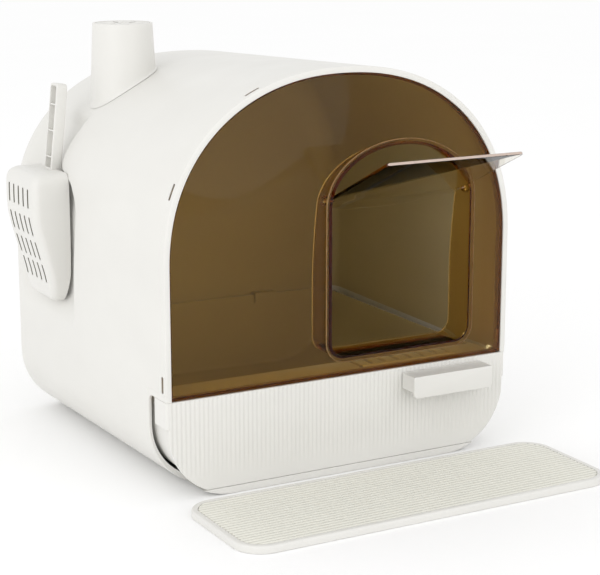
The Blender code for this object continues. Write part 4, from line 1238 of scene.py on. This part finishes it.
def bowl_rings(inset):
    """The scoop's bowl, hanging tip down, its open side towards the hood."""
    sizes, middle_y = settings().scoop, SCOOP_MIDDLE_Y
    depths = [(z, depth) for z, depth, _ in SCOOP_SECTIONS]
    halves = [(z, half) for z, _, half in SCOOP_SECTIONS]
    levels = SCOOP_LEVELS if inset == 0.0 else SCOOP_LEVELS[4:-4]
    rings = []
    for z in levels:
        depth, half = through(depths, z) * MM, through(halves, z) * MM
        radius = max(min(9 * MM, depth * 0.45) - inset, 0.5 * MM)
        rim = sizes.rim_x - 3.4 * MM * smooth(190, 157, z)
        bottom = rim - depth + inset
        half -= inset
        open_x = rim + 2 * inset
        outline = [(lerp(open_x, bottom + radius, i / 6), middle_y - half) for i in range(6)]
        outline += arc((bottom + radius, middle_y - half + radius), radius, 270, 180, 12)
        outline += [(bottom, middle_y + half * share) for share in (-0.5, -0.25, 0.0, 0.25, 0.5)]
        outline += arc((bottom + radius, middle_y + half - radius), radius, 180, 90, 12)
        outline += [(lerp(bottom + radius, open_x, i / 6), middle_y + half) for i in range(1, 7)]
        rings.append([Vector((x, y, z * MM)) for x, y in outline])
    return rings


class LITTERBOX_OT_scoop(bpy.types.Operator):
    """Make the slotted litter scoop with its ribbed channel handle"""

    bl_idname = "litterbox.scoop"
    bl_label = "Scoop"

    def execute(self, context):
        sizes = settings().scoop
        scoop = loose("scoop", loft("scoop", bowl_rings(0.0)))
        cut(scoop, [loose("bowl", loft("bowl", bowl_rings(sizes.wall)))])

        foot = Vector((HANDLE_FOOT_X, SCOOP_MIDDLE_Y, HANDLE_FOOT_Z))
        lean = Matrix.Rotation(sizes.lean, 3, "Y")

        def on_handle(u, v, w):
            return foot + lean @ Vector((w, u, v))

        def shape(half, low, high, radius):
            outline = arc((half - radius, high - radius), radius, 0, 90, 8)
            outline += arc((-half + radius, high - radius), radius, 90, 180, 8)
            return outline + [(-half, low), (half, low)]

        handle = prism("handle", shape(*HANDLE_SHAPE), -6 * MM, 6 * MM, on_handle, 0.9 * MM)
        cut(handle, [prism("channel", shape(*CHANNEL_SHAPE), -9 * MM, 3.6 * MM, on_handle)])
        ribs = []
        for z in HANDLE_RIBS:
            low, high = z * MM, (z + HANDLE_RIB_T) * MM
            outline = [(-9 * MM, low), (9 * MM, low), (9 * MM, high), (-9 * MM, high)]
            ribs.append(prism("rib", outline, -5.2 * MM, 5 * MM, on_handle, 0.3 * MM))
        join(handle, ribs)
        hole = rounded_box((-5 * MM, 78 * MM), (5 * MM, 88 * MM), 2 * MM, 5)
        cut(handle, [prism("hook_hole", hole, 2 * MM, 9 * MM, on_handle)])
        join(scoop, [handle])
        cut(scoop, self.slots())
        self.shade_slots(scoop)
        finish_piece(scoop, "litter_scoop", [shell_plastic(), slot_shade()], "scoop", "white_shell", "scoop",
                     crease=38)
        return {"FINISHED"}

    def shade_slots(self, scoop):
        """Give the slots' side walls the shade that gathers in them."""
        sizes = settings().scoop
        for polygon in scoop.data.polygons:
            place = polygon.center
            column = (place.y - SCOOP_MIDDLE_Y) / sizes.slot_pitch
            near = abs(column - round(column)) * sizes.slot_pitch < 0.6 * sizes.slot and abs(column) < 2.5
            through_wall = abs(polygon.normal.y) > 0.9 and polygon.area < 200 * MM * MM
            inside_row = any(top_z - 23 < place.z / MM < top_z + 1 for top_z, _, _ in SCOOP_SLOTS)
            polygon.material_index = int(near and through_wall and inside_row)

    def slots(self):
        """The rows of slots through the bowl's bottom."""
        sizes = settings().scoop
        outline = rounded_box((-sizes.slot / 2, -SLOT_HALF_LENGTH), (sizes.slot / 2, SLOT_HALF_LENGTH),
                              sizes.slot * 0.45, 6)
        slots = []
        for top_z, degrees, depth in SCOOP_SLOTS:
            tilt = Matrix.Rotation(-math.radians(degrees), 3, "Y")
            for column in range(-2, 3):
                place = Vector((sizes.rim_x - depth * MM, SCOOP_MIDDLE_Y + column * sizes.slot_pitch,
                                top_z * MM - SLOT_HALF_LENGTH))
                slots.append(prism("slot", outline, -9 * MM, 9 * MM,
                                   lambda u, v, w: place + tilt @ Vector((w, u, v))))
        return slots


# ---- mat -------------------------------------------------------------------------------------------------
def mat_ring(inset, z):
    corner = settings().mat.corner - inset
    outline = rounded_box((MAT_LOW.x + inset, MAT_LOW.y + inset),
                          (MAT_HIGH.x - inset, MAT_HIGH.y - inset), corner, 16)
    return [Vector((x, y, z)) for x, y in outline]


class LITTERBOX_OT_mat(bpy.types.Operator):
    """Make the floor mat: its smooth plate with a rounded edge, and its ribbed pad"""

    bl_idname = "litterbox.mat"
    bl_label = "Mat"

    def execute(self, context):
        border, top = settings().mat.border, MAT_HIGH.z
        profile = [(1.0, 0.0), (0.3, 0.3), (0.0, 1.0), (0.0, 5.6), (0.35, 6.8), (1.1, 7.6), (2.3, 8.0)]
        rings = [mat_ring(inset * MM, z * MM) for inset, z in profile]
        rings += [mat_ring(border - 0.7 * MM, top), mat_ring(border - 0.2 * MM, top - 0.2 * MM),
                  mat_ring(border, top - 0.7 * MM), mat_ring(border, 4 * MM)]
        plate = loose("plate", loft("plate", rings))
        finish_piece(plate, "mat_plate", [shell_plastic()], "mat", "white_shell", "mat_base")
        self.make_pad()
        return {"FINISHED"}

    def make_pad(self):
        sizes = settings().mat
        low, high = PAD_LOW, PAD_HIGH
        radius = sizes.corner - sizes.border - GAP
        steps = sizes.ribs * 10
        grid = []
        for i in range(steps + 1):
            y = lerp(low.y, high.y, i / steps)
            from_end = min(y - low.y, high.y - y)
            inset = 0.0
            if from_end < radius:
                inset = radius - math.sqrt(max(radius**2 - (radius - from_end) ** 2, 0.0))
            phase = (y - low.y) / (high.y - low.y) * sizes.ribs
            rib = min(1.25 * abs(math.sin(math.pi * phase)) ** 0.8, 1.0)
            top = high.z - sizes.rib_height * (1 - rib)
            x0, x1 = low.x + inset, high.x - inset
            column = [Vector((x0 + along, y, top - drop)) for along, drop in SOFT_EDGE]
            column += [Vector((lerp(x0, x1, k / 12), y, top)) for k in range(1, 12)]
            column += [Vector((x1 - along, y, top - drop)) for along, drop in reversed(SOFT_EDGE)]
            grid.append(column)
        pad = loose("pad", relief("pad", grid, lambda point: Vector((point.x, point.y, low.z))))
        finish_piece(pad, "mat_ribs", [ribbed_rubber()], "mat", "mat_ribs", "mat_pad", crease=60)


# ---- fittings kept from the frame --------------------------------------------------------------------------
class LITTERBOX_OT_fittings(bpy.types.Operator):
    """Give the fittings that are kept from the frame their finishes and softened edges"""

    bl_idname = "litterbox.fittings"
    bl_label = "Fittings"

    def execute(self, context):
        # the drawer stops take the lining's painted shade
        finishes = {"flap_bush_left": tinted_plastic(), "flap_bush_right": tinted_plastic(),
                    "entry_grate": shell_plastic(), "drawer_stop_left": lining_painted_shade(),
                    "drawer_stop_right": lining_painted_shade(), "filter_basket": shell_plastic(),
                    "tower_ring": shell_plastic(), "scoop_hook": shell_plastic(),
                    "carbon_filter": carbon_fleece()}
        for node, material in finishes.items():
            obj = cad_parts[node]
            obj.data.materials.clear()
            obj.data.materials.append(material)
            weld = obj.modifiers.new("weld", "WELD")
            weld.merge_threshold = 0.01 * MM
            bevel = obj.modifiers.new("soft_edge", "BEVEL")
            bevel.width = 0.3 * MM
            bevel.segments = 2
            bevel.limit_method = "ANGLE"
            bevel.angle_limit = math.radians(50)
        return {"FINISHED"}


# ---- studio ----------------------------------------------------------------------------------------------
FLOOR_REACH, FLOOR_DROP = 12.0, 0.05 * MM
KEY_PLACE, KEY_SIZE = (-2.3, -1.3, 1.2), 2.2
FILL_PLACE, FILL_SIZE = (0.6, -2.8, 0.9), 1.8
LIGHT_AIM = (0.0, 0.0, 0.2)


class LITTERBOX_OT_stage(bpy.types.Operator):
    """Make the plain floor, the soft studio light and the camera"""

    bl_idname = "litterbox.stage"
    bl_label = "Stage"

    def execute(self, context):
        self.make_floor()
        self.make_light()
        self.make_camera()
        return {"FINISHED"}

    def make_floor(self):
        points = [Vector((x * FLOOR_REACH, y * FLOOR_REACH, -FLOOR_DROP))
                  for x, y in ((-1, -1), (1, -1), (1, 1), (-1, 1))]
        floor = loose("studio_floor", mesh_from("studio_floor", points, [(0, 1, 2, 3)]))
        floor.data.materials.append(pale_floor())

    def make_light(self):
        studio = settings().studio
        world = bpy.data.worlds.new("even_light")
        world.use_nodes = True
        background = world.node_tree.nodes["Background"]
        background.inputs["Color"].default_value = (1.0, 1.0, 1.0, 1.0)
        background.inputs["Strength"].default_value = studio.sky
        bpy.context.scene.world = world
        self.lamp("key", KEY_PLACE, KEY_SIZE, studio.key)
        self.lamp("fill", FILL_PLACE, FILL_SIZE, studio.fill)

    def lamp(self, name, place, size, power):
        light = bpy.data.lights.new(name, "AREA")
        light.shape = "DISK"
        light.size = size
        light.energy = power
        lamp = loose(name, light)
        lamp.location = place
        aim = Vector(LIGHT_AIM) - Vector(place)
        lamp.rotation_euler = aim.to_track_quat("-Z", "Y").to_euler()

    def make_camera(self):
        studio = settings().studio
        data = bpy.data.cameras.new("camera")
        data.sensor_width = 36.0
        data.lens = studio.lens
        data.clip_start, data.clip_end = 0.05, 60.0
        camera = loose("camera", data)
        camera.location = studio.eye
        camera.rotation_euler = (math.pi / 2 - studio.dip, 0.0, -studio.heading)
        bpy.context.scene.camera = camera
        bpy.context.scene.view_settings.view_transform = "Standard"


# ---- panel and registration --------------------------------------------------------------------------------
class LITTERBOX_PT_panel(bpy.types.Panel):
    """Sizes, colours and the making of each piece"""

    bl_idname = "LITTERBOX_PT_panel"
    bl_label = "Litter box"
    bl_space_type = "VIEW_3D"
    bl_region_type = "UI"
    bl_category = "Litter box"

    def draw(self, context):
        layout = self.layout
        box_settings = context.scene.litter_box
        for group in ("hood", "front", "drawer", "tower", "scoop", "mat", "colours", "studio"):
            column = layout.box().column()
            column.label(text=group.capitalize())
            values = getattr(box_settings, group)
            for name in values.__annotations__:
                column.prop(values, name)
        for operator in OPERATORS:
            layout.operator(operator.bl_idname)


GROUPS = [HoodSizes, FrontSizes, DrawerSizes, TowerSizes, ScoopSizes, MatSizes, FinishColours, StudioSettings,
          LitterBoxSettings]
OPERATORS = [LITTERBOX_OT_stage, LITTERBOX_OT_hood, LITTERBOX_OT_front_panel, LITTERBOX_OT_door_tunnel,
             LITTERBOX_OT_flap, LITTERBOX_OT_tray, LITTERBOX_OT_fascia, LITTERBOX_OT_handle,
             LITTERBOX_OT_tower, LITTERBOX_OT_scoop, LITTERBOX_OT_mat, LITTERBOX_OT_fittings]


def register():
    for cls in GROUPS + OPERATORS + [LITTERBOX_PT_panel]:
        bpy.utils.register_class(cls)
    bpy.types.Scene.litter_box = PointerProperty(type=LitterBoxSettings)


def unregister():
    del bpy.types.Scene.litter_box
    for cls in reversed(GROUPS + OPERATORS + [LITTERBOX_PT_panel]):
        bpy.utils.unregister_class(cls)


def main():
    register()
    bpy.ops.litterbox.stage()
    bpy.ops.litterbox.hood()
    bpy.ops.litterbox.front_panel()
    bpy.ops.litterbox.door_tunnel()
    bpy.ops.litterbox.flap()
    bpy.ops.litterbox.tray()
    bpy.ops.litterbox.fascia()
    bpy.ops.litterbox.handle()
    bpy.ops.litterbox.tower()
    bpy.ops.litterbox.scoop()
    bpy.ops.litterbox.mat()
    bpy.ops.litterbox.fittings()


if __name__ == "__main__":
    main()
